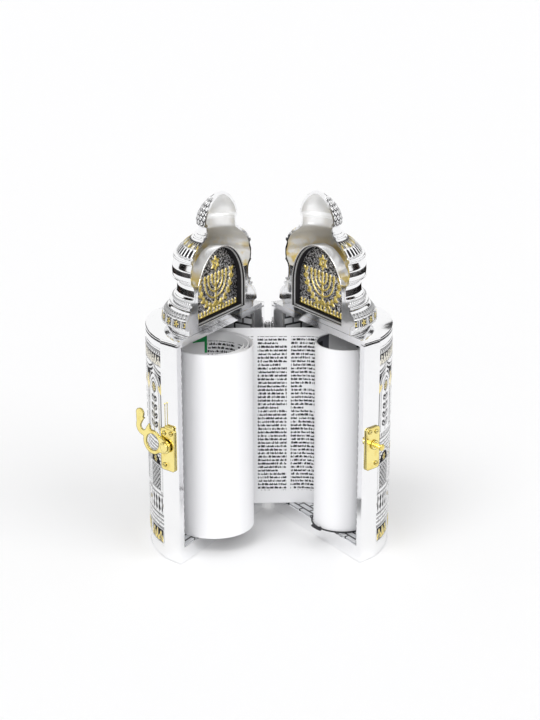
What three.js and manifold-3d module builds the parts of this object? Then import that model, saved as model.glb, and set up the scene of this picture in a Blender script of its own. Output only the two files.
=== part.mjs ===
// Torah case: two half shells on an upright hinge, each with half of a stepped crown, shown open
// around a paper scroll wound into two loose rolls. Millimetres, +Z up, the open side towards -Y.
import * as THREE from "three";
import { mergeVertices } from "three/addons/utils/BufferGeometryUtils.js";
import Module from "manifold-3d";

const wasm = await Module();
wasm.setup();

// Driving sizes of the case
const bodyHeight = 190;
const caseDepth = 131;
const halfWidth = 65;
const planPower = 1.75;
const openAngle = THREE.MathUtils.degToRad(65);
const hingeReach = 4.7;
const seamGap = 0.4;
const clearance = 0.3;
const overrun = 5;

// Body shell
const wall = 4;
const frontStile = 6.5;
const rearStile = 17.5;
const floorHeight = 13;
const ceilingBelowTop = 5.5;
const facetWidth = 18;
const facetDrop = 3;
const grooveHeight = 1.6;
const grooveDepth = 1.1;
const grooveBelowTop = 2.6;
const padThickness = 1.8;
const padInset = 5;
const padProud = 0.3;

// Relief panel and linings
const reliefThickness = 1.4;
const reliefProud = 0.3;
const reliefLow = 10;
const reliefBelowTop = 9;
const reliefSink = 0.6;
const reliefBays = 6;
const bayPost = 4.6;
const leafRow = { low: 12.2, high: 23.4 };
const balusterRow = { low: 38.6, high: 53 };
const archFoot = 58.3;
const archSpring = 81;
const archRise = 7.8;
const archSteps = 2;
const fieldSteps = 3;
const liningThickness = 0.6;
const liningSetback = 4.5;

// Crown
const crownWall = 1.5;
const crownHeight = 107.5;
const crownRadius = 53;
const crownBaseShare = 0.9;
const crownTopShare = 0.76;
const crownSteps = 16;
const bandLevels = 3;
const domeLevels = 10;
const finialLevels = 5;
const flangeLevels = 4;

// Lunette tray in the mouth of each half crown
const lunetteHalf = 34.4;
const lunetteLow = 4.6;
const lunetteSpring = 24;
const lunetteHigh = 61.5;
const lunetteDepth = 8.4;
const lunetteWall = 1.2;
const lunetteStep = 1.2;
const lunetteStepDepth = 2.6;
const flangeThickness = 1.4;
const lunettePlate = 1.2;
const reliefHeight = 1.1;
const fenceHeight = 4.2;
const fenceBars = 14;
const sprayLeaves = 5;

// Latch: plates on the front facets, a swing hook on the left one and a stud on the right one
const plateWidth = 15;
const plateHeight = 36;
const plateThickness = 1.2;
const plateCorner = 2.6;
const plateFromSeam = 3.4;
const plateBelowLatch = 2.8;
const latchFromSeam = 12;
const latchHeight = 101.3;
const screwFromSeam = 14.4;
const screwSpread = 13.6;
const cornerScrewFromSeam = 7;
const cornerScrewRise = 14.6;
const screwShank = 1;
const screwLength = 3.2;
const screwHead = 2;
const screwHeadHeight = 0.6;
const hookThickness = 1.4;
const hookLift = 1.25;
const rivetShaft = 1.7;
const rivetBoss = 3.2;
const rivetHead = 4.2;
const rivetHeadHeight = 1.5;
const hookEye = 5.6;
const ringRadius = 10.2;
const ringHole = 7.1;
const ringReach = 13.2;
const ringAngle = THREE.MathUtils.degToRad(176);
const notchAngle = THREE.MathUtils.degToRad(153);
const mouthSteps = 5;
const notchPlay = 1.1;
const armWidth = 4.8;
const tabWidth = 8.4;
const tabTurn = THREE.MathUtils.degToRad(13);
const studShaft = 1.9;
const studHead = 2.9;
const studHeadHeight = 1.3;
const studCollar = 4;
const studCollarHeight = 1.2;

// Hinge
const hingeBelowTop = 20;
const hingeBottom = 24;
const knuckleCount = 5;
const knuckleRadius = 3.1;
const pinRadius = 1.3;
const pinHead = 2.3;
const pinHeadHeight = 1.1;
const leafThickness = 1.2;
const leafWidth = 15;
const leafScrews = 3;

// Scroll: radii and places off the hinge's axis are shares of the case's depth
const paperBelowCeiling = 11.3;
const paperThickness = 0.4;
const leftRollShare = 0.255;
const rightRollShare = 0.1809;
const leftRollPlace = { x: -0.348, y: -0.4763 };
const rightRollPlace = { x: 0.4641, y: -0.4733 };
const leafPlace = -0.1863;
const rightRollEndPlace = -0.2672;
const turnSteps = 32;
const tieRadius = 0.65;
const knotRadius = 1.9;
const tieTail = 8.5;
const tieAngle = THREE.MathUtils.degToRad(228);
const tieStart = 0.45;

// Values that follow from the driving sizes
const halfCase = caseDepth / 2;
const facetTilt = Math.atan2(facetDrop, facetWidth);
const reliefSeat = reliefThickness - reliefProud + clearance;
const seamHalf = seamGap / 2;
const ceilingHeight = bodyHeight - ceilingBelowTop;
const reliefHigh = bodyHeight - reliefBelowTop;
const hingeTop = bodyHeight - hingeBelowTop;
const plateCentre = latchHeight - plateBelowLatch;
const paperBottom = floorHeight + 2 * clearance + liningThickness;
const paperHeight = ceilingHeight - paperBelowCeiling - paperBottom;
const leftRollRadius = caseDepth * leftRollShare;
const rightRollRadius = caseDepth * rightRollShare;
const leftRollCentre = { x: caseDepth * leftRollPlace.x, y: caseDepth * leftRollPlace.y };
const rightRollCentre = { x: caseDepth * rightRollPlace.x, y: caseDepth * rightRollPlace.y };
const leafY = caseDepth * leafPlace;
const rightRollEndY = caseDepth * rightRollEndPlace;
const plateTop = plateThickness + 2 * clearance;
const hookSeat = plateThickness + clearance + hookLift;
const hookTop = hookSeat + hookThickness;
const hookMiddle = (hookSeat + hookTop) / 2;
// Closed, the two facets tilt apart, so the hook crosses the stud above the plate and further out
const bridge = 2 * latchFromSeam * Math.cos(facetTilt) ** 2 + seamGap * Math.cos(facetTilt);
const notchReach = (bridge + hookMiddle * Math.sin(2 * facetTilt)) / Math.cos(2 * facetTilt);
const crossing = hookMiddle + notchReach * Math.tan(facetTilt);
const notchRadius = studShaft + notchPlay;
const lampBar = lunetteHalf * 0.05;
const lampStep = lunetteHalf * 0.15;
const lampFoot = bodyHeight + 2 * clearance + lunetteLow + lunetteStep + fenceHeight + lampBar + 4 * clearance;
const lampRim = lampFoot + lampStep * 4.2;
const sprayRadius = lunetteHalf * 0.68;
const starRadius = lunetteHalf * 0.19;
const starUp = lampRim + lampStep + starRadius + 3 * clearance;
const finishes = {
  silver: { color: 0xd8d9dc, roughness: 0.12, metalness: 1 },
  relief: { color: 0x8b8a8c, roughness: 0.35, metalness: 1 },
  oxidised: { color: 0x3a3735, roughness: 0.5, metalness: 0.8 },
  gold: { color: 0xe0b52c, roughness: 0.2, metalness: 1 },
  brass: { color: 0xd9b64a, roughness: 0.22, metalness: 1 },
  lining: { color: 0x77797d, roughness: 0.5, metalness: 0.4 },
  felt: { color: 0x15151a, roughness: 0.95, metalness: 0 },
  paper: { color: 0xf4f3f0, roughness: 0.85, metalness: 0 },
  cord: { color: 0x141414, roughness: 0.8, metalness: 0 },
};

/** Turn a closed geometry into a solid that can be joined and cut. */
function solid(geometry) {
  const bare = geometry.clone();
  bare.deleteAttribute("normal");
  bare.deleteAttribute("uv");
  const merged = mergeVertices(bare);
  const corners = [];
  for (let i = 0; i < merged.index.count; i += 3) {
    const [a, b, c] = [0, 1, 2].map((k) => merged.index.getX(i + k));
    if (a !== b && b !== c && c !== a) corners.push(a, b, c);
  }
  return new wasm.Manifold(new wasm.Mesh({
    numProp: 3,
    vertProperties: new Float32Array(merged.attributes.position.array),
    triVerts: new Uint32Array(corners),
  }));
}

/** Turn a solid back into a geometry. */
function geometryOf(body) {
  const cut = body.getMesh();
  const geometry = new THREE.BufferGeometry();
  geometry.setAttribute("position", new THREE.BufferAttribute(new Float32Array(cut.vertProperties), 3));
  geometry.setIndex(new THREE.BufferAttribute(new Uint32Array(cut.triVerts), 1));
  geometry.computeVertexNormals();
  return geometry;
}

/** Join several geometries into one solid. */
function join(geometries) {
  return geometries.map(solid).reduce((whole, next) => whole.add(next));
}

/** A named mesh with one of the finishes. */
function piece(name, shape, finish) {
  const body = shape instanceof THREE.BufferGeometry ? solid(shape) : shape;
  const mesh = new THREE.Mesh(geometryOf(body), new THREE.MeshStandardMaterial(finishes[finish]));
  mesh.name = name;
  return mesh;
}

/** Upright prism over an outline of [x, y] points. */
function prism(points, low, high) {
  const shape = new THREE.Shape(points.map(([x, y]) => new THREE.Vector2(x, y)));
  const geometry = new THREE.ExtrudeGeometry(shape, { depth: high - low, bevelEnabled: false });
  return geometry.translate(0, 0, low);
}

/** Place in the half's own frame: along the seam from its rear edge, and out from the seam. */
function place(side, along, out) {
  return [side * out, -(hingeReach + along)];
}

/** Outline in the half's frame from a list of { along, out } points. */
function outline(side, points) {
  return points.map(({ along, out }) => place(side, along, out));
}

/** Box in the half's frame between two corners given along the seam, out of it and up. */
function block(side, from, to) {
  const [xa, ya] = place(side, from.along, from.out);
  const [xb, yb] = place(side, to.along, to.out);
  const size = [Math.abs(xb - xa), Math.abs(yb - ya), to.up - from.up];
  return new THREE.BoxGeometry(...size).translate((xa + xb) / 2, (ya + yb) / 2, (from.up + to.up) / 2);
}

/** Point of the rounded plan at a turn of 0 at the rear edge to pi at the front edge. */
function planPoint(turn, inset) {
  const cos = Math.cos(turn);
  const reach = Math.sign(cos) * Math.abs(cos) ** (2 / planPower);
  const spread = Math.max(Math.sin(turn), 0) ** (2 / planPower);
  return { along: halfCase - (halfCase - inset) * reach, out: (halfWidth - inset) * spread };
}

/** Turn at which the plan stands a given distance out of the seam, on its rear half. */
function turnAtOut(out, inset) {
  return Math.asin((out / (halfWidth - inset)) ** (planPower / 2));
}

/** Turn at which the plan passes a given place along the seam. */
function turnAtAlong(along, inset) {
  const share = (halfCase - along) / (halfCase - inset);
  return Math.acos(Math.sign(share) * Math.abs(share) ** (planPower / 2));
}

/** Points of the rounded plan between two turns. */
function planCurve(inset, fromTurn, toTurn, steps) {
  return Array.from({ length: steps + 1 }, (_, i) => planPoint(fromTurn + (toTurn - fromTurn) * i / steps, inset));
}

/** Points of the rounded plan that stand further out of the seam than a given distance. */
function outerCurve(inset, out, steps = 22) {
  const turn = turnAtOut(out, inset);
  return planCurve(inset, turn, Math.PI - turn, steps);
}

/** Outline of a thin sheet that follows the plan between two insets. */
function sheetOutline(outerInset, innerInset, out) {
  return [...outerCurve(outerInset, out), ...outerCurve(innerInset, out).reverse()];
}

/** Half body with its chamber, recess for the relief panel, top groove, pad recess and latch holes. */
function bodyShell(side) {
  const facetRear = { along: facetDrop, out: facetWidth };
  const facetFront = { along: caseDepth - facetDrop, out: facetWidth };
  const full = [
    { along: 0, out: seamHalf }, facetRear, ...outerCurve(0, facetWidth), facetFront,
    { along: caseDepth, out: seamHalf },
  ];
  const rearTurn = turnAtAlong(rearStile, wall);
  const frontTurn = turnAtAlong(caseDepth - frontStile, wall);
  const chamber = [
    { along: rearStile, out: -overrun }, ...planCurve(wall, rearTurn, frontTurn, 18),
    { along: caseDepth - frontStile, out: -overrun },
  ];
  const grooveTop = bodyHeight - grooveBelowTop;
  const grooveInner = [
    { along: grooveDepth, out: -overrun }, { along: facetDrop + grooveDepth, out: facetWidth },
    ...outerCurve(grooveDepth, facetWidth), { along: caseDepth - facetDrop - grooveDepth, out: facetWidth },
    { along: caseDepth - grooveDepth, out: -overrun },
  ];
  const around = block(side, { along: -overrun, out: -overrun, up: grooveTop - grooveHeight },
    { along: caseDepth + overrun, out: halfWidth + overrun, up: grooveTop });
  const groove = solid(around)
    .subtract(solid(prism(outline(side, grooveInner), grooveTop - grooveHeight - overrun, grooveTop + overrun)));
  let shell = solid(prism(outline(side, full), padProud, bodyHeight))
    .subtract(solid(prism(outline(side, chamber), floorHeight, ceilingHeight)))
    .subtract(solid(prism(outline(side, sheetOutline(-overrun, reliefSeat, facetWidth)), reliefLow, reliefHigh)))
    .subtract(solid(prism(outline(side, outerCurve(padInset, padInset)), -overrun, padThickness + clearance)))
    .subtract(groove);
  for (const { out, up, bore } of latchHoles()) {
    const depth = screwLength + clearance + overrun;
    const drill = new THREE.CylinderGeometry(bore, bore, depth, 8).rotateX(Math.PI / 2)
      .translate(side * out, up, depth / 2 - screwLength - clearance);
    shell = shell.subtract(solid(onFacet(side, drill)));
  }
  for (const { out, up } of leafScrewPlaces()) {
    shell = shell.subtract(solid(onRearFacet(side, leafDrill(side, out, up))));
  }
  return shell;
}

/** Carry a geometry from the front facet's frame (x right, y up, z off the facet) to the half's. */
function onFacet(side, geometry) {
  return geometry.rotateX(Math.PI / 2).rotateZ(side * facetTilt).translate(0, -(hingeReach + caseDepth), 0);
}

/** Carry a geometry from the rear facet's frame (x left, y up, z off the facet) to the half's. */
function onRearFacet(side, geometry) {
  return geometry.rotateX(Math.PI / 2).rotateZ(Math.PI - side * facetTilt).translate(0, -hingeReach, 0);
}

/** Screws of a latch plate: out along the facet and up. */
function latchScrewPlaces() {
  return [
    { out: screwFromSeam, up: plateCentre - screwSpread },
    { out: screwFromSeam, up: plateCentre + screwSpread },
    { out: cornerScrewFromSeam, up: plateCentre + cornerScrewRise },
  ];
}

/** Holes behind a latch plate: its screws, and the rivet or the stud. */
function latchHoles() {
  const screws = latchScrewPlaces().map((spot) => ({ ...spot, bore: screwShank + clearance }));
  return [...screws, { out: latchFromSeam, up: latchHeight, bore: rivetShaft + clearance }];
}

/** Felt pad let into the underside. */
function basePad(side) {
  const inset = padInset + clearance;
  return prism(outline(side, outerCurve(inset, inset)), 0, padThickness);
}

/** Turns that part the relief panel's curve into bays of equal length. */
function bayTurns() {
  const first = turnAtOut(facetWidth + clearance, 0);
  const fine = Array.from({ length: 401 }, (_, i) => first + (Math.PI - 2 * first) * i / 400);
  const runs = [0];
  for (let i = 1; i < fine.length; i += 1) {
    const [here, last] = [planPoint(fine[i], 0), planPoint(fine[i - 1], 0)];
    runs.push(runs.at(-1) + Math.hypot(here.along - last.along, here.out - last.out));
  }
  const bay = runs.at(-1) / reliefBays;
  const at = (run) => fine[runs.findIndex((length) => length >= Math.min(run, runs.at(-1)) - clearance / 2)];
  return Array.from({ length: reliefBays }, (_, i) => (inset) => [at(bay * i + inset), at(bay * (i + 1) - inset)]);
}

/** Sunk field of the relief panel, between two turns and two heights. */
function sunkField(side, [from, to], low, high) {
  const face = planCurve(-overrun, from, to, fieldSteps);
  const floor = planCurve(reliefSink - reliefProud, from, to, fieldSteps).reverse();
  return solid(prism(outline(side, [...face, ...floor]), low, high));
}

/** Sheet around the outside of a half: a sunk leaf row, a balustrade and arched bays between columns. */
function reliefPanel(side) {
  const edge = facetWidth + clearance;
  const sheet = outline(side, sheetOutline(-reliefProud, reliefThickness - reliefProud, edge));
  let panel = solid(prism(sheet, reliefLow + clearance, reliefHigh - clearance));
  for (const bay of bayTurns()) {
    for (const row of [leafRow, balusterRow]) {
      panel = panel.subtract(sunkField(side, bay(bayPost / 2), row.low, row.high));
    }
    for (let i = 0; i <= archSteps; i += 1) {
      const share = i / (archSteps + 1);
      const inset = bayPost + archRise * (1 - Math.sqrt(1 - share ** 2));
      const low = i === 0 ? archFoot : archSpring + archRise * (i - 1) / archSteps;
      const high = archSpring + archRise * i / archSteps;
      panel = panel.subtract(sunkField(side, bay(inset), low, high));
    }
  }
  return panel;
}

/** Brick-patterned card on the chamber's floor. */
function floorLining(side) {
  const inset = wall + clearance + liningThickness + clearance;
  const from = turnAtAlong(rearStile + clearance, inset);
  const to = turnAtAlong(caseDepth - frontStile - clearance, inset);
  const points = [
    { along: rearStile + clearance, out: liningSetback }, ...planCurve(inset, from, to, 18),
    { along: caseDepth - frontStile - clearance, out: liningSetback },
  ];
  const low = floorHeight + clearance;
  return prism(outline(side, points), low, low + liningThickness);
}

/** Brick-patterned card on the chamber's curved wall. */
function wallLining(side) {
  const inset = wall + clearance;
  const back = inset + liningThickness;
  const [rear, front] = [rearStile + clearance, caseDepth - frontStile - clearance];
  const outer = planCurve(inset, turnAtAlong(rear, inset), turnAtAlong(front, inset), 18);
  const inner = planCurve(back, turnAtAlong(rear, back), turnAtAlong(front, back), 18).reverse();
  return prism(outline(side, [...outer, ...inner]), floorHeight + clearance, ceilingHeight - clearance);
}

// Outer profile of the crown: [share of its radius, share of its height], from the body's top to the tip
const bandShares = [
  [0.896, 0], [0.905, 0.046], [1, 0.053], [0.987, 0.118], [0.943, 0.146], [0.902, 0.165], [0.868, 0.176],
];
const domeShares = [
  [0.84, 0.179], [0.873, 0.19], [0.873, 0.206], [0.81, 0.21], [0.81, 0.222], [0.833, 0.226], [0.83, 0.242],
  [0.774, 0.247], [0.752, 0.272], [0.75, 0.33], [0.774, 0.36], [0.823, 0.38], [0.842, 0.388], [0.826, 0.397],
  [0.838, 0.43], [0.838, 0.475], [0.79, 0.526], [0.828, 0.536], [0.826, 0.556], [0.762, 0.563],
  [0.775, 0.575], [0.7075, 0.611], [0.6226, 0.644], [0.538, 0.667], [0.487, 0.674], [0.483, 0.692],
  [0.42, 0.699], [0.402, 0.732], [0.4, 0.76],
];
const finialShares = [
  [0.4, 0.763], [0.4415, 0.772], [0.445, 0.8065], [0.415, 0.853], [0.35, 0.9], [0.249, 0.946], [0.122, 0.983],
];

/** Radius of a profile at a height, in the profile's own shares. */
function radiusAt(profile, height) {
  const after = profile.findIndex(([, level]) => level >= height);
  if (after <= 0) return profile.at(after)[0];
  const [[r0, h0], [r1, h1]] = [profile[after - 1], profile[after]];
  return r0 + (r1 - r0) * (height - h0) / (h1 - h0);
}

/** Smooth inner face under an outer profile, at least a wall behind every step of it. */
function innerProfile(outer, levels, belowTop = 0) {
  const low = outer[0][1];
  const high = outer.at(-1)[1] - belowTop;
  return Array.from({ length: levels + 1 }, (_, i) => {
    const height = low + (high - low) * i / levels;
    const near = [height - crownWall, height, height + crownWall]
      .map((level) => THREE.MathUtils.clamp(level, outer[0][1], outer.at(-1)[1]));
    const between = outer.filter(([, level]) => level > near[0] && level < near[2]).map(([radius]) => radius);
    const least = Math.min(...near.map((level) => radiusAt(outer, level)), ...between);
    return [least - crownWall, height];
  });
}

/** Profile of a part of the crown, from shares to real sizes. */
function crownProfile(shares) {
  return shares.map(([radius, height]) => [radius * crownRadius, height * crownHeight]);
}

/** Half of a turned thin shell, flattened out of the seam more and more towards the tip. */
function turnedShell(side, shares, levels, tipped) {
  const outer = crownProfile(shares);
  const inner = innerProfile(outer, levels, tipped ? crownWall : 0).reverse();
  const profile = tipped
    ? [[0, crownHeight - 2 * crownWall], ...inner, ...outer, [0, crownHeight]]
    : [...inner, ...outer, inner[0]];
  const points = profile.map(([radius, height]) => new THREE.Vector2(radius, height));
  const turned = new THREE.LatheGeometry(points, crownSteps * 2).rotateX(Math.PI / 2);
  const spots = turned.attributes.position;
  for (let i = 0; i < spots.count; i += 1) {
    const rise = spots.getZ(i) / crownHeight;
    spots.setX(i, spots.getX(i) * THREE.MathUtils.lerp(crownBaseShare, crownTopShare, rise));
  }
  const [, centre] = place(side, halfCase, 0);
  const keep = block(side, { along: -overrun, out: seamHalf, up: bodyHeight },
    { along: caseDepth + overrun, out: halfWidth, up: bodyHeight + crownHeight + overrun });
  return solid(turned.translate(0, centre, bodyHeight + clearance)).intersect(solid(keep));
}

/** Prism over an outline of [along, up] points that stands in the seam, between two distances out of it. */
function upright(side, points, from, to) {
  const geometry = prism(points, 0, to - from).rotateX(Math.PI / 2).rotateZ(-Math.PI / 2);
  return geometry.translate(side < 0 ? -from : to, -hingeReach, 0);
}

/** Arch outline: straight sides up to the spring, then half an ellipse. */
function arch(inset) {
  const half = lunetteHalf - inset;
  const base = bodyHeight + clearance;
  const spring = base + lunetteSpring;
  const rise = lunetteHigh - lunetteSpring - inset;
  const low = base + lunetteLow + inset;
  const round = Array.from({ length: 21 }, (_, i) => {
    const turn = Math.PI * i / 20;
    return [halfCase + half * Math.cos(turn), spring + rise * Math.sin(turn)];
  });
  return [[halfCase - half, low], [halfCase + half, low], ...round];
}

/** Flat face that fills the mouth of the half crown below its waist. */
function flange(side) {
  const inner = [
    ...innerProfile(crownProfile(bandShares), bandLevels),
    ...innerProfile(crownProfile(domeShares), domeLevels).slice(0, flangeLevels),
  ];
  const base = bodyHeight + clearance;
  const front = inner.map(([radius, height]) => [halfCase + radius - clearance, base + height]);
  const rear = inner.map(([radius, height]) => [halfCase - radius + clearance, base + height]).reverse();
  return upright(side, [...front, ...rear], seamHalf, seamHalf + flangeThickness);
}

/** Recessed tray with an arched mouth and the flat face around its foot. */
function lunetteTray(side) {
  const back = seamHalf + lunetteDepth;
  const pan = upright(side, arch(-lunetteWall), seamHalf, back + lunetteWall);
  const mouth = upright(side, arch(0), seamHalf - overrun, seamHalf + lunetteStepDepth);
  const hollow = upright(side, arch(lunetteStep), seamHalf - overrun, back);
  return join([pan, flange(side)]).subtract(solid(mouth)).subtract(solid(hollow));
}

/** Pebbled plate on the bottom of the tray. */
function lunettePanel(side) {
  const back = seamHalf + lunetteDepth - clearance;
  return upright(side, arch(lunetteStep + clearance), back - lunettePlate, back);
}

/** Ring sector outline around [0, up] between two angles. */
function bow(up, radius, width, from, to, steps) {
  const arc = (reach) => Array.from({ length: steps + 1 }, (_, i) => {
    const turn = from + (to - from) * i / steps;
    return [reach * Math.cos(turn), up + reach * Math.sin(turn)];
  });
  return [...arc(radius + width / 2), ...arc(radius - width / 2).reverse()];
}

/** Pointed leaf outline that grows from a place in a direction. */
function leafShape([x, y], direction, length) {
  const at = (share, bulge) => [
    x + length * (share * Math.cos(direction) - bulge * Math.sin(direction)),
    y + length * (share * Math.sin(direction) + bulge * Math.cos(direction)),
  ];
  return [at(-0.1, 0), at(0.35, -0.22), at(1, 0), at(0.35, 0.22)];
}

/** Raised outlines on the pebbled plate, given about the middle of the lunette. */
function raised(side, outlines) {
  const back = seamHalf + lunetteDepth - lunettePlate - 2 * clearance;
  return join(outlines.map((points) => {
    const shifted = points.map(([along, up]) => [halfCase + along, up]);
    return upright(side, shifted, back - reliefHeight, back);
  }));
}

/** Seven-branched lamp between two leafy sprays. */
function lunetteLamp(side) {
  const outlines = [
    [[-lampBar, lampFoot], [lampBar, lampFoot], [lampBar, lampRim], [-lampBar, lampRim]],
    [[-5 * lampBar, lampFoot - lampBar], [5 * lampBar, lampFoot - lampBar], [lampBar, lampFoot + 2 * lampBar],
      [-lampBar, lampFoot + 2 * lampBar]],
  ];
  for (let branch = 1; branch <= 3; branch += 1) {
    outlines.push(bow(lampRim, lampStep * branch, lampBar, Math.PI, 2 * Math.PI, 4 + 2 * branch));
  }
  for (let branch = -3; branch <= 3; branch += 1) {
    outlines.push(leafShape([lampStep * branch, lampRim], Math.PI / 2, lampStep));
  }
  const sprayUp = lampFoot - lampBar / 2 + sprayRadius;
  outlines.push(bow(sprayUp, sprayRadius, lampBar, -Math.PI, 0, 14));
  for (let leaf = 0; leaf < sprayLeaves; leaf += 1) {
    const turn = Math.PI * (0.42 - 0.42 * leaf / sprayLeaves);
    for (const mirror of [-1, 1]) {
      const spot = [mirror * sprayRadius * Math.cos(turn), sprayUp - sprayRadius * Math.sin(turn)];
      const run = Math.PI / 2 - mirror * turn;
      outlines.push(leafShape(spot, run - mirror * 0.6, lampStep), leafShape(spot, run + mirror * 0.6, lampStep));
    }
  }
  return raised(side, outlines);
}

/** Six-pointed star over the lamp. */
function lunetteStar(side) {
  return raised(side, [0.5, -0.5].map((tip) => [0, 1, 2].map((corner) => {
    const turn = Math.PI * (tip + corner * 2 / 3);
    return [starRadius * Math.cos(turn), starUp + starRadius * Math.sin(turn)];
  })));
}

/** Row of short bars along the foot of the lunette. */
function lunetteFence(side) {
  const half = lunetteHalf - lunetteStep - 4 * clearance;
  const low = lampFoot - lampBar - 2 * clearance - fenceHeight;
  const pitch = 2 * half / fenceBars;
  const rail = low + fenceHeight * 0.3;
  const bars = Array.from({ length: fenceBars }, (_, i) => {
    const left = -half + pitch * (i + 0.2);
    const right = left + pitch * 0.6;
    return [[left, low], [right, low], [right, low + fenceHeight], [left, low + fenceHeight]];
  });
  return raised(side, [[[-half, low], [half, low], [half, rail], [-half, rail]], ...bars]);
}

/** Rounded plate outline around a centre, in the front facet's frame. */
function plateShape(side) {
  const [left, right] = [-plateWidth / 2, plateWidth / 2];
  const [low, high] = [-plateHeight / 2, plateHeight / 2];
  const shape = new THREE.Shape();
  shape.moveTo(left + plateCorner, low);
  shape.lineTo(right - plateCorner, low);
  shape.absarc(right - plateCorner, low + plateCorner, plateCorner, -Math.PI / 2, 0);
  shape.lineTo(right, high - plateCorner);
  shape.absarc(right - plateCorner, high - plateCorner, plateCorner, 0, Math.PI / 2);
  shape.lineTo(left + plateCorner, high);
  shape.absarc(left + plateCorner, high - plateCorner, plateCorner, Math.PI / 2, Math.PI);
  shape.lineTo(left, low + plateCorner);
  shape.absarc(left + plateCorner, low + plateCorner, plateCorner, Math.PI, Math.PI * 3 / 2);
  for (const { out, up, bore } of latchHoles()) {
    const hole = new THREE.Path();
    const across = side * (out - plateFromSeam - plateWidth / 2);
    hole.absarc(across, up - plateCentre, bore, 0, Math.PI * 2, true);
    shape.holes.push(hole);
  }
  return shape;
}

/** Latch plate on the front facet. */
function latchPlate(side) {
  const plate = new THREE.ExtrudeGeometry(plateShape(side),
    { depth: plateThickness, bevelEnabled: false, curveSegments: 4 });
  return onFacet(side, plate.translate(side * (plateFromSeam + plateWidth / 2), plateCentre, clearance));
}

/** Turned piece that stands off a facet: [radius, height] points from its axis round to its axis. */
function turnedStud(profile, out, up, side, steps = 16) {
  const points = profile.map(([radius, height]) => new THREE.Vector2(radius, height));
  return new THREE.LatheGeometry(points, steps).rotateX(Math.PI / 2).translate(side * out, up, 0);
}

/** Slotted screw whose head sits on a plate. */
function screw(out, up, side, seat) {
  const rim = seat + screwHeadHeight / 2;
  const body = turnedStud([
    [0, -screwLength], [screwShank, -screwLength], [screwShank, seat], [screwHead, seat], [screwHead, rim],
    [screwHead * 0.6, seat + screwHeadHeight], [0, seat + screwHeadHeight],
  ], out, up, side, 10);
  const slot = new THREE.BoxGeometry(screwHead * 3, screwHead * 0.25, screwHeadHeight)
    .translate(side * out, up, seat + screwHeadHeight);
  return geometryOf(solid(body).subtract(solid(slot)));
}

/** Rivet that carries the swing hook: boss under it, shaft through it, domed head over it. */
function hookRivet(side) {
  const headSeat = hookTop + clearance;
  return onFacet(side, turnedStud([
    [0, -screwLength], [rivetShaft, -screwLength], [rivetShaft, plateTop], [rivetBoss, plateTop],
    [rivetBoss, hookSeat - clearance], [rivetShaft, hookSeat - clearance], [rivetShaft, headSeat],
    [rivetHead, headSeat], [rivetHead, headSeat + rivetHeadHeight / 3],
    [rivetHead * 0.6, headSeat + rivetHeadHeight * 0.85], [0, headSeat + rivetHeadHeight],
  ], latchFromSeam, latchHeight, side, 16));
}

/** Stud that the hook drops over, with its head clear of the tilted hook. */
function catchStud(side) {
  const tilt = 2 * facetTilt;
  const headSeat = crossing + hookThickness / 2 / Math.cos(tilt) + studHead * Math.tan(tilt) + clearance;
  return onFacet(side, turnedStud([
    [0, -screwLength], [rivetShaft, -screwLength], [rivetShaft, plateTop], [studCollar, plateTop],
    [studCollar, plateTop + studCollarHeight], [studShaft, plateTop + studCollarHeight],
    [studShaft, headSeat], [studHead, headSeat], [studHead, headSeat + studHeadHeight / 2],
    [studHead * 0.6, headSeat + studHeadHeight], [0, headSeat + studHeadHeight],
  ], latchFromSeam, latchHeight, side, 16));
}

/** Disc in the hook's plane around [x, y] from the rivet. */
function disc([x, y], radius, steps) {
  const shape = new THREE.Shape();
  shape.absarc(x, y, radius, 0, Math.PI * 2);
  return new THREE.ExtrudeGeometry(shape, { depth: hookThickness, bevelEnabled: false, curveSegments: steps });
}

/** Straight strip in the hook's plane whose half width changes from one end to the other. */
function strip(from, to, startHalf, endHalf) {
  const run = Math.atan2(to[1] - from[1], to[0] - from[0]) + Math.PI / 2;
  const edge = ([x, y], half) => [x + half * Math.cos(run), y + half * Math.sin(run)];
  const points = [edge(from, -startHalf), edge(to, -endHalf), edge(to, endHalf), edge(from, startHalf)];
  return prism(points, 0, hookThickness);
}

/** Swing hook thrown up and away from the seam: eye, finger ring, curved arm with its notch and thumb tab. */
function swingHook(side) {
  const polar = (reach, angle) => [reach * Math.cos(angle), reach * Math.sin(angle)];
  const arm = notchReach + notchRadius + armWidth / 2;
  const ring = polar(ringReach, ringAngle);
  const notch = polar(notchReach, notchAngle);
  const heel = polar(arm, notchAngle + armWidth / notchReach);
  const shoulder = polar(arm, notchAngle);
  const tab = polar(arm + tabWidth * 0.4, notchAngle - tabTurn);
  const parts = [
    disc([0, 0], hookEye, 10), disc(ring, ringRadius, 14), strip([0, 0], ring, hookEye * 0.98, ringRadius * 0.9),
    strip(ring, notch, ringRadius * 0.6, notchRadius + armWidth / 2), disc(notch, notchRadius + armWidth, 10),
    strip(notch, heel, armWidth / 2, armWidth / 2), disc(shoulder, armWidth / 2, 8),
    strip(shoulder, tab, armWidth / 2, tabWidth / 2), disc(tab, tabWidth / 2, 9),
  ];
  const through = (geometry) => solid(geometry.scale(1, 1, 3).translate(0, 0, -hookThickness));
  // The stud enters along its own arc about the rivet, so the mouth opens that way
  let hook = join(parts)
    .subtract(through(disc(ring, ringHole, 12)))
    .subtract(through(disc([0, 0], rivetShaft + clearance, 7)))
    .subtract(through(disc(notch, notchRadius, 8)));
  const mouthStep = notchRadius / notchReach;
  for (let step = 0; step < mouthSteps; step += 1) {
    const from = polar(notchReach, notchAngle - mouthStep * step);
    const to = polar(notchReach, notchAngle - mouthStep * (step + 1.2));
    hook = hook.subtract(through(strip(from, to, notchRadius, notchRadius)));
  }
  return onFacet(side, geometryOf(hook).translate(side * latchFromSeam, latchHeight, hookSeat));
}

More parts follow.
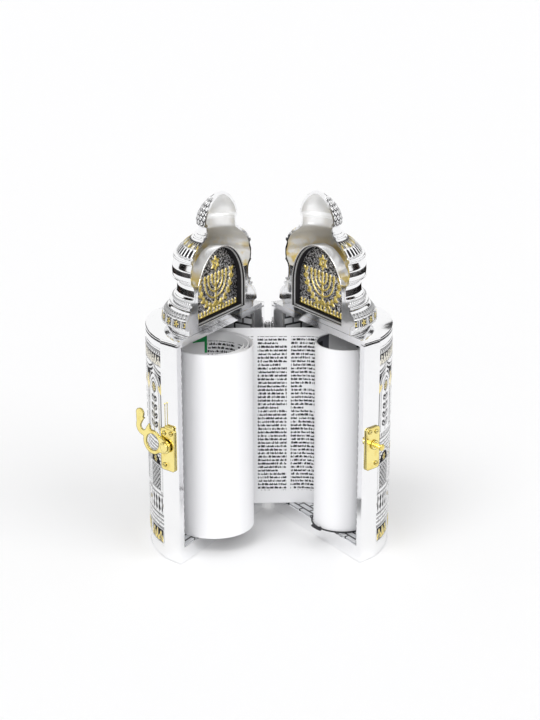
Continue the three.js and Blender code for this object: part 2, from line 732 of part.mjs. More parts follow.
/** Heights of the screws in a hinge leaf. */
function leafScrewPlaces() {
  const step = (hingeTop - hingeBottom) / leafScrews;
  return Array.from({ length: leafScrews }, (_, i) => ({ out: leafWidth * 0.68, up: hingeBottom + step * (i + 0.5) }));
}

/** Hole for a leaf screw, in the rear facet's frame. */
function leafDrill(side, out, up) {
  const bore = screwShank + clearance;
  const depth = screwLength + clearance + overrun;
  return new THREE.CylinderGeometry(bore, bore, depth, 8).rotateX(Math.PI / 2)
    .translate(-side * out, up, depth / 2 - screwLength - clearance);
}

/** Hinge leaf with its knuckles: the left one has the first, third and fifth, the right one the others. */
function hingeLeaf(side) {
  const step = (hingeTop - hingeBottom) / knuckleCount;
  const own = (index) => (index % 2 === 0) === (side < 0);
  const edge = seamHalf + clearance;
  const height = hingeTop - hingeBottom;
  const plate = new THREE.BoxGeometry(leafWidth - edge, height, leafThickness)
    .translate(-side * (leafWidth + edge) / 2, hingeBottom + height / 2, clearance + leafThickness / 2);
  let leaf = solid(onRearFacet(side, plate));
  for (let index = 0; index < knuckleCount; index += 1) {
    const low = hingeBottom + step * index + clearance / 2;
    const high = low + step - clearance;
    if (own(index)) {
      const knuckle = new THREE.CylinderGeometry(knuckleRadius, knuckleRadius, high - low, 16)
        .rotateX(Math.PI / 2).translate(0, 0, (low + high) / 2);
      const webDepth = hingeReach - pinRadius - clearance - pinRadius / 2 - clearance;
      const web = new THREE.BoxGeometry(knuckleRadius - edge, high - low, webDepth)
        .translate(-side * (knuckleRadius + edge) / 2, (low + high) / 2, clearance + webDepth / 2);
      leaf = leaf.add(solid(knuckle)).add(solid(onRearFacet(side, web)));
    } else {
      const room = knuckleRadius + 2 * clearance;
      const relief = new THREE.CylinderGeometry(room, room, step + clearance, 16)
        .rotateX(Math.PI / 2).translate(0, 0, (low + high) / 2);
      leaf = leaf.subtract(solid(relief));
    }
  }
  const bore = new THREE.CylinderGeometry(pinRadius + clearance, pinRadius + clearance, height + overrun, 14)
    .rotateX(Math.PI / 2).translate(0, 0, hingeBottom + height / 2);
  leaf = leaf.subtract(solid(bore));
  for (const { out, up } of leafScrewPlaces()) {
    leaf = leaf.subtract(solid(onRearFacet(side, leafDrill(side, out, up))));
  }
  return leaf;
}

/** Hinge pin with a small head at either end. */
function hingePin() {
  const low = hingeBottom - clearance;
  const high = hingeTop + clearance;
  const points = [
    [0, low - pinHeadHeight], [pinHead * 0.7, low - pinHeadHeight], [pinHead, low - pinHeadHeight * 0.4],
    [pinHead, low], [pinRadius, low], [pinRadius, high], [pinHead, high], [pinHead, high + pinHeadHeight * 0.4],
    [pinHead * 0.7, high + pinHeadHeight], [0, high + pinHeadHeight],
  ].map(([radius, height]) => new THREE.Vector2(radius, height));
  return new THREE.LatheGeometry(points, 14).rotateX(Math.PI / 2);
}

const rolls = {
  left: { centre: leftRollCentre, radius: leftRollRadius, end: leafY, turns: 2.75, pitch: 2.6, drift: 1.2, wind: 1 },
  right: {
    centre: rightRollCentre, radius: rightRollRadius, end: rightRollEndY, turns: 2.25, pitch: 1.1, drift: 0, wind: -1,
  },
};

/** Point of a roll's winding, in from its outer end at the back, moved out by an offset. */
function windingPoint(roll, turn, offset) {
  const slack = roll.end - roll.centre.y - roll.radius;
  const easing = Math.max(0, 1 - turn / Math.PI) ** 2;
  const inward = Math.max(0, turn - Math.PI) / (2 * Math.PI);
  const radius = roll.radius + slack * easing - roll.pitch * inward + offset;
  const angle = Math.PI / 2 + roll.wind * turn;
  const drift = roll.drift * inward;
  return [
    roll.centre.x + radius * Math.cos(angle) - roll.wind * drift,
    roll.centre.y + radius * Math.sin(angle) - drift,
  ];
}

/** Loose roll of paper: one sheet wound in a spiral. */
function paperRoll(roll) {
  const count = Math.round(turnSteps * roll.turns);
  const turns = Array.from({ length: count + 1 }, (_, i) => 2 * Math.PI * roll.turns * i / count);
  const outer = turns.map((turn) => windingPoint(roll, turn, paperThickness / 2));
  const inner = turns.map((turn) => windingPoint(roll, turn, -paperThickness / 2)).reverse();
  return prism([...outer, ...inner], paperBottom, paperBottom + paperHeight);
}

/** Least distance between neighbouring turns of a roll, less the paper's thickness. */
function leastGap(roll) {
  let least = Infinity;
  const step = 2 * Math.PI / turnSteps;
  const last = 2 * Math.PI * roll.turns;
  for (let turn = 0; turn + Math.PI * 2 <= last; turn += step) {
    const [x, y] = windingPoint(roll, turn, 0);
    for (let other = turn + Math.PI; other <= last; other += step / 2) {
      const [px, py] = windingPoint(roll, other, 0);
      least = Math.min(least, Math.hypot(px - x, py - y));
    }
  }
  return least - paperThickness;
}

/** Open leaf between the two rolls: flat, then easing back to the smaller roll. */
function openLeaf() {
  const half = paperThickness / 2;
  const start = rolls.left.centre.x + clearance;
  const end = rolls.right.centre.x - clearance;
  const bend = end - rightRollRadius * 1.35;
  const curve = new THREE.CubicBezierCurve(
    new THREE.Vector2(bend, leafY), new THREE.Vector2(bend + rightRollRadius * 0.7, leafY),
    new THREE.Vector2(end - rightRollRadius * 0.5, rightRollEndY), new THREE.Vector2(end, rightRollEndY),
  );
  const line = [new THREE.Vector2(start, leafY), ...curve.getPoints(12)];
  const normals = line.map((point, i) => {
    const next = line[Math.min(i + 1, line.length - 1)];
    const last = line[Math.max(i - 1, 0)];
    const run = next.clone().sub(last).normalize();
    return new THREE.Vector2(-run.y, run.x);
  });
  const edge = (sign) => line.map((point, i) => {
    const moved = point.clone().addScaledVector(normals[i], sign * half);
    return [moved.x, moved.y];
  });
  return prism([...edge(1), ...edge(-1).reverse()], paperBottom, paperBottom + paperHeight);
}

/** Elastic tie around the foot of the right roll, knotted at its front left with a short tail. */
function rollTie() {
  const height = paperBottom + tieRadius;
  const roll = rolls.right;
  const offset = paperThickness / 2 + 2 * clearance + tieRadius;
  const at = (turn, further) => new THREE.Vector3(...windingPoint(roll, turn, offset + further), height);
  const [first, last] = [tieStart, 2 * Math.PI - tieStart / 3];
  const loop = Array.from({ length: 25 }, (_, i) => at(first + (last - first) * i / 24, 0));
  const section = new THREE.Shape();
  section.absarc(0, 0, tieRadius, 0, Math.PI * 2);
  const tube = (points, steps) => new THREE.ExtrudeGeometry(section,
    { extrudePath: new THREE.CatmullRomCurve3(points), steps, curveSegments: 3, bevelEnabled: false });
  const knotTurn = Math.PI / 2 - tieAngle + 2 * Math.PI;
  const knot = at(knotTurn, knotRadius * 0.4);
  const ball = new THREE.SphereGeometry(knotRadius, 8, 6).rotateX(Math.PI / 2)
    .translate(knot.x, knot.y, height - tieRadius + knotRadius);
  const tail = at(knotTurn - tieTail / roll.radius, 2 * knotRadius);
  return join([tube(loop, 32), ball, tube([knot, knot.clone().lerp(tail, 0.5), tail], 4)]);
}

/** Everything that swings with one half of the case. */
function halfCaseGroup(name, side) {
  const group = new THREE.Group();
  group.rotation.z = side * openAngle / 2;
  group.add(
    piece(`${name}_body_shell`, bodyShell(side), "silver"),
    piece(`${name}_base_pad`, basePad(side), "felt"),
    piece(`${name}_relief_panel`, reliefPanel(side), "relief"),
    piece(`${name}_floor_lining`, floorLining(side), "lining"),
    piece(`${name}_wall_lining`, wallLining(side), "lining"),
    piece(`${name}_crown_band`, turnedShell(side, bandShares, bandLevels, false), "relief"),
    piece(`${name}_crown_dome`, turnedShell(side, domeShares, domeLevels, false), "silver"),
    piece(`${name}_finial`, turnedShell(side, finialShares, finialLevels, true), "relief"),
    piece(`${name}_lunette_tray`, lunetteTray(side), "silver"),
    piece(`${name}_lunette_panel`, lunettePanel(side), "oxidised"),
    piece(`${name}_lunette_lamp`, lunetteLamp(side), "gold"),
    piece(`${name}_lunette_star`, lunetteStar(side), "gold"),
    piece(`${name}_lunette_fence`, lunetteFence(side), "gold"),
    piece(`${name}_latch_plate`, latchPlate(side), "brass"),
    piece(`${name}_hinge_leaf`, hingeLeaf(side), "brass"),
  );
  latchScrewPlaces().forEach(({ out, up }, i) => {
    group.add(piece(`${name}_latch_screw_${i + 1}`, onFacet(side, screw(out, up, side, plateTop)), "brass"));
  });
  leafScrewPlaces().forEach(({ out, up }, i) => {
    const seated = onRearFacet(side, screw(out, up, -side, leafThickness + 2 * clearance));
    group.add(piece(`${name}_hinge_screw_${i + 1}`, seated, "brass"));
  });
  return group;
}

const leftHalf = halfCaseGroup("left", -1);
leftHalf.add(piece("hook_rivet", hookRivet(-1), "brass"), piece("swing_hook", swingHook(-1), "brass"),
  piece("hinge_pin", hingePin(), "brass"));
const rightHalf = halfCaseGroup("right", 1);
rightHalf.add(piece("catch_stud", catchStud(1), "brass"));

for (const [name, roll] of Object.entries(rolls)) {
  console.log(`${name} roll, least gap between turns: ${leastGap(roll).toFixed(2)} mm`);
}

const torahCase = new THREE.Group();
torahCase.add(leftHalf, rightHalf, piece("left_roll", paperRoll(rolls.left), "paper"),
  piece("right_roll", paperRoll(rolls.right), "paper"), piece("open_leaf", openLeaf(), "paper"),
  piece("roll_tie", rollTie(), "cord"));

// The origin is under the middle of the whole case
const box = new THREE.Box3().setFromObject(torahCase, true);
const middle = box.getCenter(new THREE.Vector3());
torahCase.position.set(-middle.x, -middle.y, -box.min.z);

const rounded = (point) => point.toArray().map((value) => Number(value.toFixed(2))).join(", ");
const rivetFoot = onFacet(-1, new THREE.BufferGeometry().setFromPoints([
  new THREE.Vector3(-latchFromSeam, latchHeight, 0), new THREE.Vector3(-latchFromSeam, latchHeight, 1),
])).applyMatrix4(new THREE.Matrix4().makeRotationZ(-openAngle / 2)).attributes.position;
const [foot, above] = [0, 1].map((i) => new THREE.Vector3().fromBufferAttribute(rivetFoot, i));
console.log(`hinge axis: ${rounded(torahCase.position)}`);
console.log(`rivet: ${rounded(foot.clone().add(torahCase.position))}, axis ${above.sub(foot).toArray()}`);

export default torahCase;
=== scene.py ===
"""Looks of the torah case.

Silver halves with stepped crowns, a gilt lamp in each lunette, a brass hook and a paper scroll.
"""

import logging
import math
from collections.abc import Callable
from dataclasses import dataclass
from enum import Enum

import bmesh
import bpy
import numpy as np
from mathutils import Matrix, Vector


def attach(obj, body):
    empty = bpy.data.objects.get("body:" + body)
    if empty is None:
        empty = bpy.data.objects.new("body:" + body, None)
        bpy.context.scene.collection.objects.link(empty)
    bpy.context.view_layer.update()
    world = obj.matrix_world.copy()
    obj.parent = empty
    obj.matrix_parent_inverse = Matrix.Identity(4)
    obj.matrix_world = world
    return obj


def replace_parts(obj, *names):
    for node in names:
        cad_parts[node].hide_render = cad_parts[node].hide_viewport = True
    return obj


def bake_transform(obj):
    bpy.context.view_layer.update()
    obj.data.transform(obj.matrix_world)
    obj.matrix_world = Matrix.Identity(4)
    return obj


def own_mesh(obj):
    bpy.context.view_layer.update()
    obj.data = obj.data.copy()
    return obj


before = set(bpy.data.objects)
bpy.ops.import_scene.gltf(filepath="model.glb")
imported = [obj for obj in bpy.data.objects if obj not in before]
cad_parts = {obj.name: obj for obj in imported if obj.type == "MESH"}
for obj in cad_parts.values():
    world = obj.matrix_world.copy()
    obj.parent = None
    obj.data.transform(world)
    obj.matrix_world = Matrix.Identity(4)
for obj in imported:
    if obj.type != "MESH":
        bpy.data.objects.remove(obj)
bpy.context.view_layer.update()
log = logging.getLogger("torah_case")

MM = 0.001
FINE_WELD = 1e-7
CROWN_WELD = 1e-6
BODY_WELD = 2e-6

Numbers = np.ndarray | float
Line = tuple[np.ndarray, np.ndarray]
Span = tuple[float, float]
Profile = tuple[tuple[float, float], ...]
Piece = bpy.types.Object
Finish = bpy.types.Material
Socket = bpy.types.NodeSocket
Colour = tuple[float, float, float, float]


class Side(Enum):
    """The two halves of the case, by the sign of their outward direction at rest."""

    LEFT = -1
    RIGHT = 1

    @property
    def word(self) -> str:
        """Name used at the front of the half's node names."""
        return self.name.lower()

    @property
    def body(self) -> str:
        """Name of the moving body that carries this half."""
        return f"{self.word}_half"


@dataclass(frozen=True)
class CaseSizes:
    """Main sizes of the case in millimetres, as the solids have them."""

    body_height: float = 190.0
    depth: float = 131.0
    width: float = 65.0
    plan_power: float = 1.75
    hinge_reach: float = 4.7
    half_angle: float = math.radians(32.5)
    hinge_at: tuple[float, float] = (3.72, 56.22)
    seam: float = 0.2
    clearance: float = 0.3
    facet_width: float = 18.0
    facet_drop: float = 3.0
    outward: tuple[float, float] = (0.8434, 0.5373)

    def to_row(self, side: Side, along: Numbers, out: Numbers, up: Numbers) -> np.ndarray:
        """Carry points of a half's own frame into the shared frame.

        Args:
            side: The half.
            along: Distance from the rear edge towards the front edge, in millimetres.
            out: Distance out of the seam, in millimetres.
            up: Height, in millimetres.

        Returns:
            Points in metres, one row each.
        """
        turn = side.value * self.half_angle
        x, y = side.value * out, -(self.hinge_reach + along)
        across = x * math.cos(turn) - y * math.sin(turn) + self.hinge_at[0]
        back = x * math.sin(turn) + y * math.cos(turn) + self.hinge_at[1]
        return np.stack(np.broadcast_arrays(across, back, up), axis=-1) * MM

    def plan(self, turn: np.ndarray, inset: float) -> Line:
        """Points of the rounded plan.

        Args:
            turn: 0 at the rear edge to pi at the front edge.
            inset: Distance in from the outer face, in millimetres.

        Returns:
            Distances along and out of the seam, in millimetres.
        """
        half = self.depth / 2
        cos = np.cos(turn)
        reach = np.sign(cos) * np.abs(cos) ** (2 / self.plan_power)
        spread = np.maximum(np.sin(turn), 0) ** (2 / self.plan_power)
        return half - (half - inset) * reach, (self.width - inset) * spread


SIZES = CaseSizes()


class NodeGraph:
    """A material's node tree, with short ways to add and join its nodes."""

    def __init__(self, name: str) -> None:
        """Start an empty material with a surface shader.

        Args:
            name: Name of the material.
        """
        self.material = bpy.data.materials.new(name)
        self.material.use_nodes = True
        self.tree = self.material.node_tree
        self.tree.nodes.clear()
        self.output = self.tree.nodes.new("ShaderNodeOutputMaterial")
        self.shader = self.tree.nodes.new("ShaderNodeBsdfPrincipled")
        self.join(self.shader.outputs["BSDF"], self.output.inputs["Surface"])

    def node(self, kind: str, **settings: object) -> bpy.types.Node:
        """Add a node and set its properties.

        Args:
            kind: Node type without its ShaderNode prefix.
            settings: Properties of the node.

        Returns:
            The new node.
        """
        made = self.tree.nodes.new(f"ShaderNode{kind}")
        for key, value in settings.items():
            setattr(made, key, value)
        return made

    def join(self, source: Socket, target: Socket) -> None:
        """Link two sockets."""
        self.tree.links.new(source, target)

    def feed(self, value: object, target: Socket) -> None:
        """Link a socket, or set a plain value on it."""
        if isinstance(value, Socket):
            self.join(value, target)
        else:
            target.default_value = value

    def set(self, name: str, value: object) -> None:
        """Feed one input of the surface shader."""
        self.feed(value, self.shader.inputs[name])

    def object_place(self) -> Socket:
        """Coordinates that stay with the object, in metres."""
        return self.node("TexCoord").outputs["Object"]

    def scaled(self, place: Socket, scale: tuple[float, float, float]) -> Socket:
        """Stretch coordinates.

        Args:
            place: Coordinates.
            scale: Factor along each axis.

        Returns:
            The stretched coordinates.
        """
        mapping = self.node("Mapping")
        mapping.inputs["Scale"].default_value = scale
        self.join(place, mapping.inputs["Vector"])
        return mapping.outputs["Vector"]

    def attribute(self, name: str) -> Socket:
        """Value of a named number kept on the mesh."""
        return self.node("Attribute", attribute_name=name).outputs["Fac"]

    def math(self, operation: str, first: object, second: object = 0.0) -> Socket:
        """Work out one number.

        Args:
            operation: Name of the operation.
            first: Socket or number.
            second: Socket or number.

        Returns:
            The result's socket.
        """
        made = self.node("Math", operation=operation)
        self.feed(first, made.inputs[0])
        self.feed(second, made.inputs[1])
        return made.outputs[0]

    def times(self, first: object, second: object) -> Socket:
        """Product of two numbers."""
        return self.math("MULTIPLY", first, second)

    def rest(self, share: object) -> Socket:
        """What a share leaves of one."""
        return self.math("SUBTRACT", 1.0, share)

    def noise(self, place: Socket, scale: float, detail: float = 2.0) -> Socket:
        """Smooth noise.

        Args:
            place: Coordinates.
            scale: Cells in a metre.
            detail: Octaves.

        Returns:
            A value near 0.5 that wanders between 0 and 1.
        """
        made = self.node("TexNoise")
        made.inputs["Scale"].default_value = scale
        made.inputs["Detail"].default_value = detail
        self.join(place, made.inputs["Vector"])
        return made.outputs["Fac"]

    def spread(self, value: Socket, low: float, high: float) -> Socket:
        """Carry a value from 0..1 to low..high."""
        made = self.node("MapRange")
        made.inputs["To Min"].default_value = low
        made.inputs["To Max"].default_value = high
        self.join(value, made.inputs["Value"])
        return made.outputs["Result"]

    def steps(self, value: Socket, low: float, high: float) -> Socket:
        """Smooth step from 0 at low to 1 at high."""
        made = self.node("MapRange", interpolation_type="SMOOTHSTEP")
        made.inputs["From Min"].default_value = low
        made.inputs["From Max"].default_value = high
        self.join(value, made.inputs["Value"])
        return made.outputs["Result"]

    def mix(self, share: object, first: object, second: object) -> Socket:
        """Mix two colours.

        Args:
            share: Share of the second one.
            first: Socket or colour.
            second: Socket or colour.

        Returns:
            The mixed colour's socket.
        """
        made = self.node("Mix", data_type="RGBA")
        self.feed(share, made.inputs[0])
        self.feed(first, made.inputs[6])
        self.feed(second, made.inputs[7])
        return made.outputs[2]

    def bump(self, height: Socket, depth: float, strength: float = 1.0,
             normal: Socket | None = None) -> None:
        """Bump the surface.

        Args:
            height: Height from 0 to 1.
            depth: Height of a full step, in metres.
            strength: Share of the bump that shows.
            normal: Direction that it starts from, if not the mesh's own.
        """
        made = self.node("Bump")
        made.inputs["Distance"].default_value = depth
        made.inputs["Strength"].default_value = strength
        self.join(height, made.inputs["Height"])
        if normal is not None:
            self.join(normal, made.inputs["Normal"])
        self.join(made.outputs["Normal"], self.shader.inputs["Normal"])


SILVER: Colour = (0.96, 0.96, 0.965, 1.0)
OXIDE: Colour = (0.025, 0.024, 0.026, 1.0)
GILT: Colour = (0.9, 0.72, 0.2, 1.0)
PLAIN_PAPER: Colour = (0.93, 0.93, 0.945, 1.0)
FRAME_GREEN: Colour = (0.01, 0.3, 0.08, 1.0)
SLATE: Colour = (0.13, 0.135, 0.16, 1.0)
BLOCK_BLACK: Colour = (0.02, 0.02, 0.025, 1.0)


@dataclass(frozen=True)
class PlatedSilver:
    """Polished silver plate: darkened in the hollows of its relief, gilt on chosen motifs, faintly scuffed."""

    name: str = "silver_plate"
    clouded: Colour = (0.8, 0.81, 0.83, 1.0)
    roughness: float = 0.09

    def build(self) -> Finish:
        """Make the material."""
        graph = NodeGraph(self.name)
        place = graph.object_place()
        recess = graph.attribute("recess")
        gilt = graph.attribute("gilt")
        cloud = graph.noise(place, 55.0, 3.0)
        silver = graph.mix(graph.spread(cloud, 0.0, 0.35), SILVER, self.clouded)
        plated = graph.mix(gilt, silver, GILT)
        graph.set("Base Color", graph.mix(recess, plated, OXIDE))
        graph.set("Metallic", graph.spread(recess, 1.0, 0.0))
        graph.set("IOR", 1.03)
        smear = graph.noise(graph.scaled(place, (1.0, 1.0, 0.25)), 260.0, 4.0)
        polish = graph.math("ADD", graph.spread(smear, self.roughness * 0.5, self.roughness * 1.6),
                            graph.times(recess, 0.7))
        graph.set("Roughness", polish)
        graph.bump(graph.noise(place, 90.0, 2.0), 0.00025, 0.35)
        return graph.material


@dataclass(frozen=True)
class CastMetal:
    """Cast brass or steel: bright, duller in patches, with a painted dark reflection along its edges, and faint ripples
    from casting.
    """

    name: str
    bright: Colour
    dull: Colour
    roughness: float
    edge: float = 0.0011
    # The next two set the dark reflection painted along the edges: its strength and how dark its brown is.
    outline: float = 0.85
    rim: float = 0.16

    def build(self) -> Finish:
        """Make the material."""
        graph = NodeGraph(self.name)
        place = graph.object_place()
        patches = graph.steps(graph.noise(place, 140.0, 4.0), 0.45, 0.75)
        rounded = graph.node("Bevel", samples=8)
        rounded.inputs["Radius"].default_value = self.edge
        turned = graph.node("VectorMath", operation="DOT_PRODUCT")
        graph.join(rounded.outputs["Normal"], turned.inputs[0])
        graph.join(graph.node("NewGeometry").outputs["True Normal"], turned.inputs[1])
        # Painted dark reflection: where the rounded normal leaves the flat one, along the edges, the colour turns dark
        # brown.
        flatness = graph.steps(turned.outputs["Value"], 0.9, 0.995)
        corner = graph.times(graph.rest(flatness), self.outline)
        metal = graph.mix(patches, self.bright, self.dull)
        graph.set("Base Color", graph.mix(corner, metal, tuple(self.rim * c for c in self.dull[:3]) + (1.0,)))
        graph.set("Metallic", 1.0)
        graph.set("Roughness", graph.spread(graph.noise(place, 420.0, 3.0), self.roughness * 0.6, self.roughness * 1.7))
        graph.bump(graph.noise(place, 330.0, 2.0), 0.00015, 0.4, rounded.outputs["Normal"])
        return graph.material


@dataclass(frozen=True)
class SatinSilver:
    """Inside of the cast crown: bright but unpolished, with cloudy patches, fine pits and warm gold patches low down.
    """

    name: str = "satin_silver"
    bright: Colour = (0.97, 0.97, 0.97, 1.0)
    dull: Colour = (0.84, 0.84, 0.83, 1.0)
    warm: Colour = (0.8, 0.62, 0.22, 1.0)
    warm_low: float = 0.236
    warm_high: float = 0.256

    def build(self) -> Finish:
        """Make the material."""
        graph = NodeGraph(self.name)
        place = graph.object_place()
        cloud = graph.steps(graph.noise(place, 45.0, 4.0), 0.35, 0.7)
        silver = graph.mix(cloud, self.bright, self.dull)
        height = graph.node("SeparateXYZ")
        graph.join(place, height.inputs[0])
        # Low down, under warm_high, the colour turns warm gold in noisy patches.
        low = graph.rest(graph.steps(height.outputs["Z"], self.warm_low, self.warm_high))
        warm = graph.times(low, graph.steps(graph.noise(place, 70.0, 3.0), 0.38, 0.52))
        graph.set("Base Color", graph.mix(warm, silver, self.warm))
        graph.set("Metallic", 0.55)
        graph.set("Roughness", graph.spread(graph.noise(place, 160.0, 3.0), 0.25, 0.5))
        graph.bump(graph.noise(place, 380.0, 4.0), 0.0003, 0.5)
        return graph.material


@dataclass(frozen=True)
class LunetteWork:
    """Gilt relief over a dark ground beaten all over with small bright pebbles."""

    name: str = "lunette_gilding"
    pit: Colour = (0.03, 0.028, 0.03, 1.0)
    pebble: Colour = (0.85, 0.84, 0.86, 1.0)
    browned: Colour = (0.28, 0.18, 0.05, 1.0)
    grain: float = 760.0

    def build(self) -> Finish:
        """Make the material."""
        graph = NodeGraph(self.name)
        place = graph.object_place()
        ground, gilt = graph.attribute("ground"), graph.attribute("gilt")
        pebbles = graph.node("TexVoronoi")
        pebbles.inputs["Scale"].default_value = self.grain
        graph.join(place, pebbles.inputs["Vector"])
        top = graph.steps(graph.rest(pebbles.outputs["Distance"]), 0.42, 0.62)
        rubbed = graph.spread(graph.steps(graph.noise(place, 300.0, 2.0), 0.3, 0.6), 0.5, 1.0)
        worn = graph.times(top, rubbed)
        stone = graph.mix(worn, self.pit, self.pebble)
        raised = graph.mix(gilt, SILVER, GILT)
        shade = graph.steps(graph.noise(place, 420.0, 3.0), 0.35, 0.75)
        raised = graph.mix(graph.times(shade, 0.55), raised, self.browned)
        graph.set("Base Color", graph.mix(ground, raised, stone))
        graph.set("Metallic", 0.9)
        graph.set("IOR", 1.03)
        graph.set("Roughness", graph.spread(ground, 0.2, 0.38))
        height = graph.math("ADD", graph.times(top, ground), graph.times(shade, 0.3))
        graph.bump(height, 0.0004, 0.8)
        return graph.material


@dataclass(frozen=True)
class BrickCard:
    """Satin silver card printed with dark joints of running brickwork, laid by the sheet's own coordinates."""

    name: str = "brick_card"
    brick: Colour = (0.74, 0.75, 0.77, 1.0)
    light_brick: Colour = (0.84, 0.85, 0.87, 1.0)
    mortar: Colour = (0.008, 0.008, 0.01, 1.0)
    rubbed: Colour = (0.4, 0.4, 0.42, 1.0)
    brick_length: float = 0.0165
    course: float = 0.0062
    joint: float = 0.0009

    def build(self) -> Finish:
        """Make the material."""
        graph = NodeGraph(self.name)
        sheet = graph.node("UVMap", uv_map="sheet").outputs["UV"]
        bricks = graph.node("TexBrick", offset=0.5, squash=1.0)
        for name, value in (("Scale", 1.0), ("Mortar Size", self.joint), ("Mortar Smooth", 0.15),
                            ("Brick Width", self.brick_length), ("Row Height", self.course),
                            ("Color1", self.brick), ("Color2", self.light_brick), ("Mortar", self.mortar)):
            bricks.inputs[name].default_value = value
        graph.join(sheet, bricks.inputs["Vector"])
        wear = graph.noise(graph.object_place(), 240.0, 4.0)
        graph.set("Base Color", graph.mix(graph.spread(wear, 0.0, 0.2), bricks.outputs["Color"], self.rubbed))
        graph.set("Metallic", 0.25)
        graph.set("Roughness", graph.spread(wear, 0.3, 0.5))
        graph.bump(graph.rest(bricks.outputs["Fac"]), 0.0002, 0.6)
        return graph.material


@dataclass(frozen=True)
class ShortFelt:
    """Short dark felt with a soft edge to its gloss."""

    name: str = "black_felt"
    colour: Colour = (0.018, 0.018, 0.022, 1.0)
    tips: Colour = (0.05, 0.05, 0.055, 1.0)

    def build(self) -> Finish:
        """Make the material."""
        graph = NodeGraph(self.name)
        place = graph.object_place()
        nap = graph.noise(place, 1800.0, 4.0)
        graph.set("Base Color", graph.mix(nap, self.colour, self.tips))
        graph.set("Roughness", 0.95)
        graph.set("Sheen Weight", 0.3)
        graph.bump(nap, 0.0003, 0.8)
        return graph.material


@dataclass(frozen=True)
class BraidedElastic:
    """Black covered elastic with a fine slanted braid, with painted shade in the braid's hollows and a painted sheen on
    its strands.
    """

    name: str = "black_elastic"
    # The first colour is painted shade in the braid's hollows, the second the strands with a painted sheen.
    hollow: Colour = (0.008, 0.008, 0.01, 1.0)
    strand: Colour = (0.05, 0.05, 0.055, 1.0)

    def build(self) -> Finish:
        """Make the material."""
        graph = NodeGraph(self.name)
        place = graph.object_place()
        braid = graph.node("TexWave", wave_type="BANDS", bands_direction="DIAGONAL")
        braid.inputs["Scale"].default_value = 900.0
        braid.inputs["Distortion"].default_value = 1.5
        graph.join(place, braid.inputs["Vector"])
        # Painted shade and sheen: the braid's bands darken its hollows and lighten its strands.
        graph.set("Base Color", graph.mix(braid.outputs["Fac"], self.hollow, self.strand))
        graph.set("Roughness", 0.75)
        graph.bump(braid.outputs["Fac"], 0.0002, 0.7)
        return graph.material


